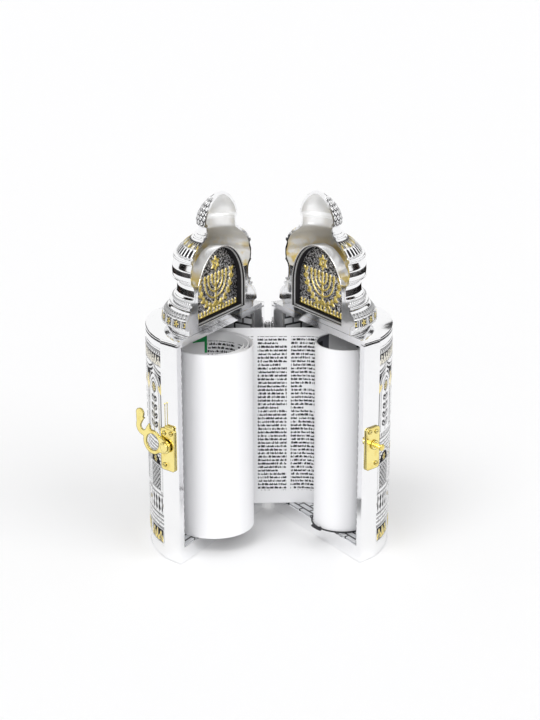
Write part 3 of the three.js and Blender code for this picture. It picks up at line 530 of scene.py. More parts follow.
@dataclass(frozen=True)
class ScrollPaper:
    """Smooth white paper, printed on one face with columns of greeked dashes and a few plain blocks.

    The sheet's own coordinates are in metres: U runs along the sheet from the left end of the open leaf
    and V runs up from its lower edge.
    """

    name: str
    printed: bool
    white: Colour = (0.94, 0.94, 0.955, 1.0)
    shaded: Colour = (0.88, 0.88, 0.905, 1.0)
    ink: Colour = (0.035, 0.035, 0.04, 1.0)
    line_pitch: float = 0.0032
    column_pitch: float = 0.0280
    column_width: float = 0.0245
    first_column: float = 0.0083
    text_low: float = 0.0118
    text_high: float = 0.1515
    letter: float = 0.00046
    tall_letter: float = 0.00085
    word: float = 0.0039
    word_shift: float = 0.004
    short_lines: float = 0.09
    panels: tuple[tuple[tuple[float, float, float, float], Colour], ...] = (
        ((-0.46, -0.412, 0.1, 0.16), PLAIN_PAPER), ((0.392, 0.416, 0.1, 0.16), PLAIN_PAPER),
        ((-0.4245, -0.412, 0.1508, 0.16), FRAME_GREEN), ((-0.4142, -0.412, 0.141, 0.16), FRAME_GREEN),
        ((0.3665, 0.392, 0.1, 0.16), SLATE), ((0.37, 0.3755, 0.144, 0.153), BLOCK_BLACK),
        ((0.379, 0.385, 0.136, 0.155), BLOCK_BLACK))

    def build(self) -> Finish:
        """Make the material."""
        graph = NodeGraph(self.name)
        place = graph.object_place()
        fibre = graph.noise(place, 1500.0, 5.0)
        paper = graph.mix(graph.spread(fibre, 0.0, 0.25), self.white, self.shaded)
        graph.set("Base Color", self._print(graph, paper) if self.printed else paper)
        graph.set("Roughness", 0.62)
        graph.set("Specular IOR Level", 0.35)
        graph.bump(graph.noise(place, 60.0, 3.0), 0.0006, 0.25)
        return graph.material

    def _print(self, graph: NodeGraph, paper: Socket) -> Socket:
        """Lay dark dashes, a green frame and dark blocks over the paper's colour."""
        sheet = graph.node("SeparateXYZ")
        graph.join(graph.node("UVMap", uv_map="sheet").outputs["UV"], sheet.inputs[0])
        along, up = sheet.outputs["X"], sheet.outputs["Y"]
        line = graph.math("DIVIDE", up, self.line_pitch)
        row = graph.math("FLOOR", line)
        in_row = graph.math("FRACT", line)
        tall = graph.spread(self._cells(graph, along, row, self.tall_letter), 0.52, 0.84)
        band = graph.times(graph.steps(in_row, 0.14, 0.2), graph.math("LESS_THAN", in_row, tall))
        column = graph.math("DIVIDE", graph.math("SUBTRACT", along, self.first_column), self.column_pitch)
        in_column = graph.times(graph.math("FRACT", column), self.column_pitch)
        inside = graph.math("LESS_THAN", in_column, self.column_width)
        letters = graph.math("GREATER_THAN", self._cells(graph, along, row, self.letter), 0.1)
        slid = graph.math("ADD", along, graph.times(self._cells(graph, row, row, 1.0), self.word_shift))
        word = graph.math("DIVIDE", slid, self.word)
        length = graph.spread(self._cells(graph, slid, row, self.word), 0.8, 0.93)
        words = graph.times(letters, graph.math("LESS_THAN", graph.math("FRACT", word), length))
        short = self._cells(graph, graph.math("FLOOR", column), row, 1.0)
        past = graph.math("GREATER_THAN", in_column, graph.times(short, self.column_width * 9))
        cut = graph.times(graph.math("LESS_THAN", short, self.short_lines), past)
        ends = graph.times(graph.math("GREATER_THAN", up, self.text_low),
                          graph.math("LESS_THAN", up, self.text_high))
        ink = graph.times(graph.times(band, words), graph.times(inside, ends))
        ink = graph.times(ink, graph.rest(cut))
        for place, colour in self.panels:
            share = self._area(graph, along, up, place)
            ink = graph.times(ink, graph.rest(share))
            paper = graph.mix(share, paper, colour)
        return graph.mix(ink, paper, self.ink)

    def _area(self, graph: NodeGraph, along: Socket, up: Socket,
              place: tuple[float, float, float, float]) -> Socket:
        """1 within a box of the sheet given by its least and greatest U and V, 0 elsewhere."""
        low_u, high_u, low_v, high_v = place
        within = []
        for at, low, high in ((along, low_u, high_u), (up, low_v, high_v)):
            away = graph.math("ABSOLUTE", graph.math("SUBTRACT", at, (low + high) / 2))
            within.append(graph.math("LESS_THAN", away, (high - low) / 2))
        return graph.times(*within)

    def _cells(self, graph: NodeGraph, along: Socket, row: Socket,
               width: float) -> Socket:
        """A fixed random value for each cell of a row."""
        lay = graph.node("CombineXYZ")
        graph.join(graph.math("FLOOR", graph.math("DIVIDE", along, width)), lay.inputs["X"])
        graph.join(graph.math("FLOOR", row), lay.inputs["Y"])
        made = graph.node("TexWhiteNoise", noise_dimensions="2D")
        graph.join(lay.outputs[0], made.inputs["Vector"])
        return made.outputs["Value"]


class Shape:
    """Vertices and faces gathered for one piece, with numbers and sheet coordinates kept on the vertices."""

    def __init__(self) -> None:
        """Start with nothing."""
        self.points: list[np.ndarray] = []
        self.faces: list[tuple[int, ...]] = []
        self.slots: list[int] = []
        self.kept: dict[str, list[np.ndarray]] = {"recess": [], "gilt": [], "ground": [], "sheet": []}
        self.count = 0

    def _add(self, points: np.ndarray, **values: np.ndarray) -> int:
        """Add vertices and what is kept on them, and give the number of the first one."""
        flat = np.asarray(points, float).reshape(-1, 3)
        first = self.count
        self.points.append(flat)
        self.count += len(flat)
        for name, stored in self.kept.items():
            width = 2 if name == "sheet" else 1
            given = values.get(name, np.zeros((len(flat), width)))
            stored.append(np.asarray(given, float).reshape(-1, width))
        return first

    def grid(self, points: np.ndarray, round_rows: bool = False, slot: int = 0, **values: np.ndarray) -> None:
        """Add a surface over a grid of points.

        Args:
            points: Rows by columns by three, in metres.
            round_rows: Whether the last row joins the first.
            slot: Number of the material.
            values: What is kept on the vertices.
        """
        rows, columns = points.shape[:2]
        first = self._add(points, **values)
        for row in range(rows if round_rows else rows - 1):
            low, high = first + row * columns, first + (row + 1) % rows * columns
            self.faces.extend((low + c, low + c + 1, high + c + 1, high + c) for c in range(columns - 1))
            self.slots.extend([slot] * (columns - 1))

    def polygon(self, points: np.ndarray, slot: int = 0, **values: np.ndarray) -> None:
        """Add one flat face.

        Args:
            points: Its corners in order, in metres.
            slot: Number of the material.
            values: What is kept on the vertices.
        """
        first = self._add(points, **values)
        self.faces.append(tuple(range(first, self.count)))
        self.slots.append(slot)

    def closed_tube(self, rows: np.ndarray) -> None:
        """Add a tube given by its rings and close its ends."""
        self.grid(rows)
        self.polygon(rows[0][:-1])
        self.polygon(rows[-1][:-1])

    def build(self, name: str, sharp_above: float = 40.0, weld: float = BODY_WELD) -> Piece:
        """Make the object, smooth but for its sharp edges.

        Args:
            name: Name of the piece.
            sharp_above: Angle in degrees from which an edge stays sharp.
            weld: Distance in metres within which vertices join.

        Returns:
            The new object, linked to the scene.
        """
        mesh = bpy.data.meshes.new(name)
        mesh.from_pydata(np.concatenate(self.points).tolist(), [], self.faces)
        mesh.polygons.foreach_set("material_index", self.slots)
        for kind in ("recess", "gilt", "ground"):
            values = np.concatenate(self.kept[kind])
            if values.any():
                mesh.attributes.new(kind, "FLOAT", "POINT").data.foreach_set("value", values.astype(np.float32).ravel())
        sheet = np.concatenate(self.kept["sheet"])
        if sheet.any():
            corners = np.empty(len(mesh.loops), np.int32)
            mesh.loops.foreach_get("vertex_index", corners)
            mesh.uv_layers.new(name="sheet").data.foreach_set("uv", sheet[corners].astype(np.float32).ravel())
        worked = bmesh.new()
        worked.from_mesh(mesh)
        bmesh.ops.remove_doubles(worked, verts=worked.verts, dist=weld)
        bmesh.ops.recalc_face_normals(worked, faces=worked.faces)
        worked.to_mesh(mesh)
        worked.free()
        mesh.polygons.foreach_set("use_smooth", [True] * len(mesh.polygons))
        mesh.set_sharp_from_angle(angle=math.radians(sharp_above))
        made = bpy.data.objects.new(name, mesh)
        bpy.context.scene.collection.objects.link(made)
        return made


def fitted(made: Piece, side: Side, finishes: tuple[Finish, ...], slot: str,
           *nodes: str) -> Piece:
    """Give a piece its materials and its half, and say which solids it stands for.

    Args:
        made: The piece.
        side: The half that it rides on.
        finishes: Its materials, in the order of its slots.
        slot: Name of its material; not used.
        nodes: The half's solids that it stands for, without the side's word.

    Returns:
        The same piece.
    """
    for finish in finishes:
        made.data.materials.append(finish)
    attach(made, side.body)
    if nodes:
        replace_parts(made, *(f"{side.word}_{node}" for node in nodes))
    return made


def closed(row: np.ndarray) -> np.ndarray:
    """Row with its first point once more at its end."""
    return np.vstack([row, row[:1]])


def run_along(x: np.ndarray, y: np.ndarray) -> np.ndarray:
    """Distance along a line to each of its points."""
    return np.concatenate([[0], np.cumsum(np.hypot(np.diff(x), np.diff(y)))])


def box_gap(x: np.ndarray, z: np.ndarray, half_x: float, half_z: float) -> np.ndarray:
    """Distance out of a box about the origin."""
    return np.maximum(np.abs(x) - half_x, np.abs(z) - half_z)


def disc_gap(x: np.ndarray, z: np.ndarray, radius: float) -> np.ndarray:
    """Distance out of a disc about the origin."""
    return np.hypot(x, z) - radius


def line_gap(x: np.ndarray, z: np.ndarray, start: tuple[float, float], end: tuple[float, float],
             width: float) -> np.ndarray:
    """Distance out of a straight line with round ends.

    Args:
        x: Places across.
        z: Places up.
        start: One end.
        end: The other end.
        width: Its whole width.

    Returns:
        The distance at each place.
    """
    run = np.array([end[0] - start[0], end[1] - start[1]])
    share = np.clip(((x - start[0]) * run[0] + (z - start[1]) * run[1]) / (run @ run), 0, 1)
    return np.hypot(x - start[0] - share * run[0], z - start[1] - share * run[1]) - width / 2


def leaf_gap(x: np.ndarray, z: np.ndarray, root: tuple[float, float], turn: float, length: float,
             bulge: float) -> np.ndarray:
    """Distance out of a pointed leaf.

    Args:
        x: Places across.
        z: Places up.
        root: Where the leaf grows from.
        turn: Its direction, anticlockwise from the right, in radians.
        length: Its length.
        bulge: Its greatest half width.

    Returns:
        The distance at each place.
    """
    along = (x - root[0]) * math.cos(turn) + (z - root[1]) * math.sin(turn)
    across = (z - root[1]) * math.cos(turn) - (x - root[0]) * math.sin(turn)
    share = np.clip(along / length, 0, 1)
    return np.maximum(np.abs(across) - bulge * 4 * share * (1 - share) ** 0.8, np.maximum(-along, along - length))


def tile(x: np.ndarray, pitch: float, shift: float = 0.0) -> np.ndarray:
    """Place within a repeat, from minus to plus half the pitch."""
    return (x - shift + pitch / 2) % pitch - pitch / 2


class Relief:
    """Carved ornament over a sheet: how far each place is sunk, from 0 to 1, and how gilt it is."""

    def __init__(self, x: np.ndarray, z: np.ndarray, edge: float = 0.5) -> None:
        """Start with a plain bright sheet.

        Args:
            x: Places round the sheet, in millimetres.
            z: Places up the sheet, in millimetres.
            edge: Width over which a cut falls away, in millimetres.
        """
        self.x, self.z, self.edge = x, z, edge
        self.sunk = np.zeros_like(x)
        self.gilt = np.zeros_like(x)

    def cover(self, gap: np.ndarray) -> np.ndarray:
        """Share covered by a form, from the distance out of it."""
        return np.clip(0.5 - gap / self.edge, 0, 1)

    def sink(self, gap: np.ndarray, depth: float = 1.0) -> None:
        """Cut a form down to the dark ground."""
        self.sunk = np.maximum(self.sunk, self.cover(gap) * depth)

    def lift(self, gap: np.ndarray, gilt: float = 0.0, within: np.ndarray | None = None) -> None:
        """Stand a form up out of the ground.

        Args:
            gap: Distance out of the form.
            gilt: How gilt it is.
            within: Distance out of the form that it stays in.
        """
        share = self.cover(gap if within is None else np.maximum(gap, within))
        self.sunk = self.sunk * (1 - share)
        self.gilt = self.gilt * (1 - share) + gilt * share

    def between(self, low: float, high: float) -> np.ndarray:
        """Distance out of a level band."""
        return np.abs(self.z - (low + high) / 2) - (high - low) / 2

    def leaf_row(self, low: float, high: float, pitch: float, gilt: float) -> None:
        """Row of three-lobed leaves on a dark ground."""
        self.sink(self.between(low, high))
        x, z, tall = tile(self.x, pitch), self.z - low, high - low
        for turn, share in ((90, 0.95), (42, 0.8), (138, 0.8), (12, 0.55), (168, 0.55)):
            self.lift(leaf_gap(x, z, (0, tall * 0.08), math.radians(turn), tall * share * 0.92, tall * 0.085), gilt)
        bud = tile(self.x, pitch, pitch / 2)
        self.lift(disc_gap(bud, z - tall * 0.72, tall * 0.13), gilt)
        self.lift(line_gap(bud, z, (0, tall * 0.1), (0, tall * 0.6), tall * 0.07), gilt)

    def baluster_row(self, low: float, high: float, pitch: float) -> None:
        """Row of turned bars with dark gaps."""
        self.sink(self.between(low, high))
        x, rise = tile(self.x, pitch), (self.z - low) / (high - low)
        swell = 0.2 + 0.09 * np.cos(rise * 4 * np.pi) + 0.12 * (rise > 0.9) + 0.12 * (rise < 0.1)
        self.lift(np.abs(x) - pitch * swell, within=self.between(low, high))

    def brick_rows(self, low: float, high: float, length: float, course: float, joint: float = 0.55) -> None:
        """Courses of bricks with dark joints."""
        level = np.floor((self.z - low) / course)
        rise = (self.z - low) - level * course
        bed = np.minimum(rise, course - rise) - joint / 2
        upright = np.abs(tile(self.x, length, length * 0.5)) - joint / 2
        shifted = np.abs(tile(self.x, length)) - joint / 2
        joints = np.minimum(bed, np.where(level % 2 > 0, upright, shifted))
        self.sink(np.maximum(joints, self.between(low, high)), 0.9)

    def bead_row(self, middle: float, radius: float, pitch: float) -> None:
        """Row of pearls in a dark channel."""
        self.sink(self.between(middle - radius * 1.15, middle + radius * 1.15))
        self.lift(disc_gap(tile(self.x, pitch), self.z - middle, radius))

    def rosette(self, pitch: float, middle: float, radius: float, petals: int, gilt: float, shift: float = 0.0) -> None:
        """Row of round flowers with a rim.

        Args:
            pitch: Distance between them.
            middle: Height of their middles.
            radius: Their size.
            petals: Number of petals.
            gilt: How gilt they are.
            shift: Place of the first.
        """
        self.rosette_at(tile(self.x, pitch, shift), self.z - middle, radius, petals, gilt)

    def scroll_row(self, low: float, high: float, pitch: float, gilt: float = 0.0) -> None:
        """Row of running spirals on a dark ground."""
        self.sink(self.between(low, high))
        x, z = tile(self.x, pitch), self.z - (low + high) / 2
        size = (high - low) / 2
        reach, turn = np.hypot(x, z), np.arctan2(z, x) / (2 * np.pi)
        arm = (reach / size * 2 - turn) % 1 - 0.5
        self.lift(np.maximum(np.abs(arm) * size * 0.5 - size * 0.13, reach - size * 0.95), gilt)
        self.lift(leaf_gap(x, z, (size * 0.8, -size * 0.7), math.radians(60), size * 1.7, size * 0.2), gilt)

    def scales(self, low: float, high: float, pitch: float, course: float) -> None:
        """Overlapping round scales with dark rims."""
        level = np.floor((self.z - low) / course)
        rise = self.z - low - level * course
        x = np.where(level % 2 > 0, tile(self.x, pitch, pitch / 2), tile(self.x, pitch))
        rim = np.abs(np.hypot(x, (rise - course * 0.95) * pitch / course / 2) - pitch * 0.47) - pitch * 0.11
        self.sink(np.maximum(rim, self.between(low, high)))
        self.sink(np.maximum(disc_gap(x, rise - course * 0.72, pitch * 0.12), self.between(low, high)))

    def flutes(self, low: float, high: float, pitch: float, share: float) -> None:
        """Upright dark slots with round ends."""
        x = tile(self.x, pitch)
        half = pitch * share / 2
        reach = np.maximum(np.abs(self.z - (low + high) / 2) - (high - low) / 2 + half, 0)
        self.sink(np.hypot(x, reach) - half)

    def arcade(self, low: float, high: float, pitch: float, gilt: float) -> None:
        """Bays of columns and round arches, each with a hatched ground, a flower and a brick spandrel.

        Args:
            low: Foot of the bays.
            high: Top of the bays.
            pitch: Width of a bay, which starts and ends at a column.
            gilt: How gilt the flowers are.
        """
        x, column = tile(self.x, pitch, pitch / 2), tile(self.x, pitch)
        foot, spring, rise, reach = low + 2.7, low + 25.4, 7.8, pitch / 2 - 4.6
        up = self.z - spring
        gap = np.where(up > 0, (np.hypot(x / reach, up / rise) - 1) * reach * 0.95, np.abs(x) - reach)
        self.brick_rows(spring + 3.0, high - 1.4, pitch / 4, 2.9, 0.7)
        self.lift(gap - 2.6, within=self.between(low, high))
        turn = np.arctan2(np.maximum(up, 0), x)
        self.sink(np.maximum(np.maximum(np.abs(tile(turn, math.pi / 9)) * reach - 0.32, gap - 2.4), -up), 0.9)
        self.sink(np.abs(gap - 2.7) - 0.25 + 10 * (up < 0), 0.9)
        opening = np.maximum(gap, foot - self.z)
        self.sink(opening)
        lattice = np.minimum(np.abs(tile(x + up, 4.4)), np.abs(tile(x - up, 4.4))) - 0.42
        self.lift(lattice, within=np.maximum(opening + 0.6, up + 2.0))
        self.lift(np.abs(up + 1.4) - 0.5, within=opening)
        self.rosette_at(x, up - 3.0, 3.6, 6, gilt)
        self.lift(np.abs(column) - 3.1, within=self.between(low, spring))
        shaft = np.maximum(np.abs(column) - 2.2, self.between(foot + 1, spring - 1.6))
        self.sink(np.maximum(np.abs(tile(column, 1.55, 0.775)) - 0.3, shaft), 0.95)
        for level, half in ((low + 1.0, 3.9), (spring - 0.6, 3.9), (spring + 1.0, 3.1)):
            self.sink(box_gap(column, self.z - level, half + 0.4, 0.95), 0.9)
            self.lift(box_gap(column, self.z - level, half, 0.5), gilt if level > spring else 0.0)

    def rosette_at(self, x: np.ndarray, z: np.ndarray, radius: float, petals: int, gilt: float) -> None:
        """Flower at given places.

        Args:
            x: Places across, from its middle.
            z: Places up, from its middle.
            radius: Its size.
            petals: Number of petals.
            gilt: How gilt it is.
        """
        reach, turn = np.hypot(x, z), np.arctan2(z, x)
        self.sink(reach - radius)
        self.lift(reach - radius * (0.58 + 0.3 * np.cos(petals * turn)), gilt)
        self.sink(np.abs(reach - radius * 0.3) - radius * 0.07)


@dataclass
class ReliefPanel:
    """Sheet of raised work round the outside of one half."""

    side: Side
    low: float = 10.3
    high: float = 180.7
    from_out: float = 18.3
    proud: float = 0.3
    thickness: float = 1.4
    carve: float = 0.85
    step: float = 0.42
    fine_steps: int = 2000
    bays: int = 6
    post: float = 4.6
    post_lines: Span = (13.2, 22.4)
    post_flower: float = 45.8
    leaves: Span = (12.2, 23.4)
    courses: Span = (26.2, 36.6)
    balusters: Span = (38.6, 53.0)
    arches: Span = (55.6, 101.0)
    slots: Span = (103.4, 106.4)
    engraved_foot: float = 108.5
    spandrels: Span = (134.0, 156.3)
    top_leaves: Span = (165.5, 174.6)
    top_pearls: float = 176.4
    top_channel: Span = (178.0, 178.9)
    channels: tuple[Span, ...] = ((24.6, 25.5), (36.6, 37.4), (54.0, 54.9), (101.6, 102.5))

    def build(self, finish: Finish) -> Piece:
        """Make the sheet and carve it.

        Args:
            finish: The plated silver.

        Returns:
            The piece, riding on its half.
        """
        first = math.asin((self.from_out / (SIZES.width + self.proud)) ** (SIZES.plan_power / 2))
        fine = np.linspace(math.pi - first, first, self.fine_steps)
        along, out = SIZES.plan(fine, -self.proud)
        length = run_along(along, out)
        columns = int(length[-1] / self.step)
        x = np.linspace(0, length[-1], columns)
        turn = np.interp(x, length, fine)
        z = np.linspace(self.low, self.high, int((self.high - self.low) / self.step))
        turns, ups = np.meshgrid(turn, z)
        relief = Relief(np.broadcast_to(x - length[-1] / 2, ups.shape).copy(), ups)
        self._ornament(relief, length[-1])
        depth = relief.sunk * self.carve
        wall = np.pad(depth, 1, constant_values=self.thickness - 0.1)
        turns, ups = np.pad(turns, 1, mode="edge"), np.pad(ups, 1, mode="edge")
        alongs, outs = SIZES.plan(turns, 0.0)
        scale = (SIZES.width + self.proud - wall) / SIZES.width
        middle = SIZES.depth / 2
        alongs = middle + (alongs - middle) * (middle + self.proud - wall) / middle
        shape = Shape()
        shape.grid(SIZES.to_row(self.side, alongs, outs * scale, ups),
                   recess=np.pad(relief.sunk, 1, mode="edge"), gilt=np.pad(relief.gilt, 1, mode="edge"))
        made = shape.build(f"{self.side.word}_relief_work", 180.0)
        return fitted(made, self.side, (finish,), "relief_silver", "relief_panel")

    def _ornament(self, relief: Relief, length: float) -> None:
        """Draw the sheet's rows: gilt leaves, bricks, balusters, an arcade, slots and engraved arches.

        Args:
            relief: The sheet.
            length: Its length round the half.
        """
        bay = length / self.bays
        post = tile(relief.x, bay)
        relief.leaf_row(*self.leaves, bay / 2, 1.0)
        relief.lift(np.abs(post) - self.post / 2, within=relief.between(*self.leaves))
        relief.sink(np.maximum(np.abs(np.abs(post) - 1.1) - 0.3, relief.between(*self.post_lines)))
        relief.sink(relief.between(*self.channels[0]))
        relief.brick_rows(*self.courses, bay / 3, 3.4, 0.8)
        relief.sink(relief.between(*self.channels[1]))
        relief.baluster_row(*self.balusters, bay / 5)
        relief.lift(np.abs(post) - self.post / 2, within=relief.between(*self.balusters))
        relief.rosette_at(post, relief.z - self.post_flower, 1.9, 4, 1.0)
        relief.sink(relief.between(*self.channels[2]))
        relief.arcade(*self.arches, bay, 1.0)
        relief.sink(relief.between(*self.channels[3]))
        relief.flutes(*self.slots, bay / 8, 0.6)
        self._engraved(relief, bay)
        relief.sink(relief.between(*self.top_channel), 0.95)

    def _engraved(self, relief: Relief, bay: float) -> None:
        """Bold dark lines on the bright upper part: pointed arches, stems with leaves, flowers and swags."""
        x = tile(relief.x, bay, bay / 2)
        up = relief.z - self.engraved_foot
        rise = np.maximum(up - 30.0, 0)
        reach = bay * 0.44
        outside = np.hypot(np.abs(x) + reach * 0.35, rise * 0.78) - reach * 1.35
        relief.sink(np.maximum(np.abs(outside) - 0.85, np.abs(up - 24) - 24.5))
        swag = tile(relief.x, bay)
        relief.sink(np.maximum(1.6 - outside, relief.between(*self.spandrels)))
        relief.lift(leaf_gap(swag, up, (0, 30.5), math.pi / 2, 14.5, 1.7), 0.9)
        for turn in (55, 125):
            relief.lift(leaf_gap(swag, up, (0, 32.5), math.radians(turn), 9.5, 1.1), 0.9)
        relief.sink(box_gap(swag, up - 12.5, 1.7, 12.5))
        relief.lift(box_gap(swag, up - 12.5, 0.45, 11.5))
        inner = np.abs(np.hypot(np.abs(x) + reach * 0.35, rise * 0.85) - reach * 1.1) - 0.42
        relief.sink(np.maximum(inner, np.abs(up - 24) - 24), 0.9)
        for level in (3.0, 10.5, 18.0, 25.5):
            for turn in (38, 142):
                relief.sink(leaf_gap(x, up, (0, level), math.radians(turn), 8.4 - level * 0.08, 2.0))
                relief.lift(leaf_gap(x, up, (0, level), math.radians(turn), 6.4 - level * 0.08, 0.55))
        relief.sink(line_gap(x, up, (0, 0), (0, 34), 1.1))
        relief.rosette_at(x, up - 37.0, 4.4, 8, 0.8)
        for sag, width in ((48.5, 0.95), (51.9, 0.65)):
            drop = np.abs(up - sag - 0.028 * swag ** 2) - width
            relief.sink(np.maximum(drop, np.abs(swag) - bay * 0.47))
        relief.leaf_row(*self.top_leaves, bay / 3, 0.25)
        relief.bead_row(self.top_pearls, 0.9, bay / 8)


def fine_profile(shares: Profile, radius: float, height: float, cut: float = 0.55,
                 step: float = 0.45) -> np.ndarray:
    """Profile with its corners rounded and many short steps.

    Args:
        shares: Shares of the radius and the height.
        radius: Full radius in millimetres.
        height: Full height in millimetres.
        cut: Most that a corner is cut back, in millimetres.
        step: Longest step, in millimetres.

    Returns:
        Radius and height of each point.
    """
    corners = np.array(shares) * (radius, height)
    line = [corners[0]]
    for before, corner, after in zip(corners, corners[1:], corners[2:]):
        back, on = before - corner, after - corner
        start = corner + back * min(cut / np.linalg.norm(back), 0.42)
        end = corner + on * min(cut / np.linalg.norm(on), 0.42)
        for share in (0.0, 0.25, 0.5, 0.75, 1.0):
            line.append((1 - share) ** 2 * start + 2 * share * (1 - share) * corner + share ** 2 * end)
    line.append(corners[-1])
    dense = [line[0]]
    for before, after in zip(line, line[1:]):
        count = max(1, math.ceil(np.linalg.norm(after - before) / step))
        dense.extend(before + (after - before) * (i + 1) / count for i in range(count))
    return np.array(dense)


def inner_profile(outer: np.ndarray, levels: int, wall: float, below_top: float = 0.0) -> np.ndarray:
    """Smooth inner face, at least a wall behind every step of the outer one.

    Args:
        outer: Radius and height of each outer point.
        levels: Number of steps.
        wall: Least thickness in millimetres.
        below_top: How far below the top it ends.

    Returns:
        Radius and height of each inner point.
    """
    heights = np.linspace(outer[0, 1], outer[-1, 1] - below_top, levels + 1)
    least = [outer[np.abs(outer[:, 1] - level) <= wall + 0.3, 0].min() - wall for level in heights]
    return np.stack([least, heights], axis=1)


@dataclass
class HalfCrown:
    """Stepped hollow crown on one half: a band, a dome and a pointed finial."""

    side: Side
    base: float = SIZES.body_height + SIZES.clearance
    radius: float = 53.0
    height: float = 107.5
    wall: float = 1.5
    base_share: float = 0.9
    top_share: float = 0.76
    turns: int = 300
    inner_turns: int = 97
    band_levels: int = 6
    dome_levels: int = 26
    finial_levels: int = 14
    carve: float = 0.8
    band_round: float = 153.0
    bead_round: float = 130.0
    flute_round: float = 110.0
    tip_round: float = 66.0
    panels: Span = (7.2, 12.9)
    ribs: Span = (7.8, 12.3)
    flowers: float = 10.0
    scrolls: Span = (14.0, 17.4)
    pearls: float = 25.0
    flutes: Span = (61.2, 66.8)
    leaves: Span = (67.4, 71.7)
    gilt_spots: float = 69.2
    scales: Span = (83.0, 103.5)
    band: Profile = (
        (0.896, 0), (0.905, 0.046), (1, 0.053), (0.987, 0.118), (0.943, 0.146), (0.902, 0.165), (0.868, 0.176))
    dome: Profile = (
        (0.84, 0.179), (0.873, 0.19), (0.873, 0.206), (0.81, 0.21), (0.81, 0.222), (0.833, 0.226), (0.83, 0.242),
        (0.774, 0.247), (0.752, 0.272), (0.75, 0.33), (0.774, 0.36), (0.823, 0.38), (0.842, 0.388), (0.826, 0.397),
        (0.838, 0.43), (0.838, 0.475), (0.79, 0.526), (0.828, 0.536), (0.826, 0.556), (0.762, 0.563),
        (0.775, 0.575), (0.7075, 0.611), (0.6226, 0.644), (0.538, 0.667), (0.487, 0.674), (0.483, 0.692),
        (0.42, 0.699), (0.402, 0.732), (0.4, 0.76))
    finial: Profile = (
        (0.4, 0.763), (0.4415, 0.772), (0.445, 0.8065), (0.415, 0.853), (0.35, 0.9), (0.249, 0.946), (0.122, 0.983),
        (0.0, 1.0))

    def placed(self, radius: Numbers, height: Numbers, turn: Numbers) -> np.ndarray:
        """Points of the crown in the shared frame.

        Args:
            radius: Distance from the crown's axis, in millimetres.
            height: Height over its foot, in millimetres.
            turn: 0 at the rear to pi at the front.

        Returns:
            Points in metres.
        """
        flat = self.base_share + (self.top_share - self.base_share) * height / self.height
        out = np.maximum(radius * flat * np.sin(turn), SIZES.seam)
        return SIZES.to_row(self.side, SIZES.depth / 2 - radius * np.cos(turn), out, self.base + height)

    def _shell(self, name: str, node: str, shares: Profile, levels: int,
               finishes: tuple[Finish, Finish], draw: Callable[[Relief], None],
               tipped: bool = False) -> Piece:
        """Make one turned part of the crown.

        Args:
            name: Name of the piece.
            node: The solid that it stands for.
            shares: Its outer profile.
            levels: Steps of its inner face.
            finishes: Its outer and inner finish.
            draw: What carves it.
            tipped: Whether it closes in a tip.

        Returns:
            The piece, riding on its half.
        """
        outer = fine_profile(shares, self.radius, self.height)
        inner = inner_profile(outer, levels, self.wall, self.wall if tipped else 0.0)
        if tipped:
            inner = np.vstack([inner[inner[:, 0] > 1.0], [[0.0, self.height - 2 * self.wall]]])
        turn = np.linspace(0, math.pi, self.turns + 1)
        turns, heights = np.meshgrid(turn, outer[:, 1])
        radii = np.broadcast_to(outer[:, :1], turns.shape)
        relief = Relief(turns / math.pi, heights)
        draw(relief)
        cut = relief.sunk * self.carve * np.clip(radii / 6.0, 0, 1)
        shape = Shape()
        shape.grid(self.placed(radii - cut, heights, turns), recess=relief.sunk, gilt=relief.gilt)
        rim = np.linspace(0, math.pi, self.inner_turns)
        deep, high = np.meshgrid(rim, inner[:, 1])
        within = self.placed(np.broadcast_to(inner[:, :1], deep.shape), high, deep)
        shape.grid(within, slot=1)
        ends = np.vstack([outer, inner[::-1]])
        for end in (0.0, math.pi):
            shape.polygon(self.placed(*ends.T, end))
        for end in (0, -1):
            shape.grid(np.stack([self.placed(*outer[end], rim), self.placed(*inner[end], rim)]))
        made = shape.build(f"{self.side.word}_{name}", 50.0, CROWN_WELD)
        return fitted(made, self.side, finishes, "polished_silver", node)

    def build(self, outside: Finish, inside: Finish) -> list[Piece]:
        """Make the three parts of the crown."""
        pair = (outside, inside)
        return [self._shell("crown_ring", "crown_band", self.band, self.band_levels, pair, self._band_work),
                self._shell("crown_dome_shell", "crown_dome", self.dome, self.dome_levels, pair, self._dome_work),
                self._shell("crown_tip", "finial", self.finial, self.finial_levels, pair, self._finial_work, True)]

    def _band_work(self, relief: Relief) -> None:
        """Ribbed panels with gilt flowers under a row of small scrolls."""
        relief.x = relief.x * self.band_round
        pitch = self.band_round / 14
        panels = relief.between(*self.panels)
        relief.sink(panels)
        relief.lift(np.abs(tile(relief.x, pitch, pitch / 2)) - 0.7, within=panels)
        relief.lift(np.abs(tile(relief.x, 2.2)) - 0.34,
                    within=np.maximum(relief.between(*self.ribs), np.abs(tile(relief.x, pitch)) - 4.4))
        relief.rosette(pitch, self.flowers, 3.3, 5, 1.0)
        relief.scroll_row(*self.scrolls, 3.9)

    def _dome_work(self, relief: Relief) -> None:
        """Pearls, leaves with gilt touches and dark flutes on the mouldings."""
        share = relief.x
        relief.x = share * self.bead_round
        relief.bead_row(self.pearls, 0.95, self.bead_round / 56)
        relief.x = share * self.flute_round
        relief.flutes(*self.flutes, self.flute_round / 24, 0.66)
        relief.leaf_row(*self.leaves, self.flute_round / 15, 0.35)
        gilt = disc_gap(tile(relief.x, self.flute_round / 9), relief.z - self.gilt_spots, 2.0)
        relief.gilt = np.maximum(relief.gilt, relief.cover(gilt))

    def _finial_work(self, relief: Relief) -> None:
        """Scales in rings."""
        relief.x = relief.x * self.tip_round
        relief.scales(*self.scales, self.tip_round / 14, 3.6)


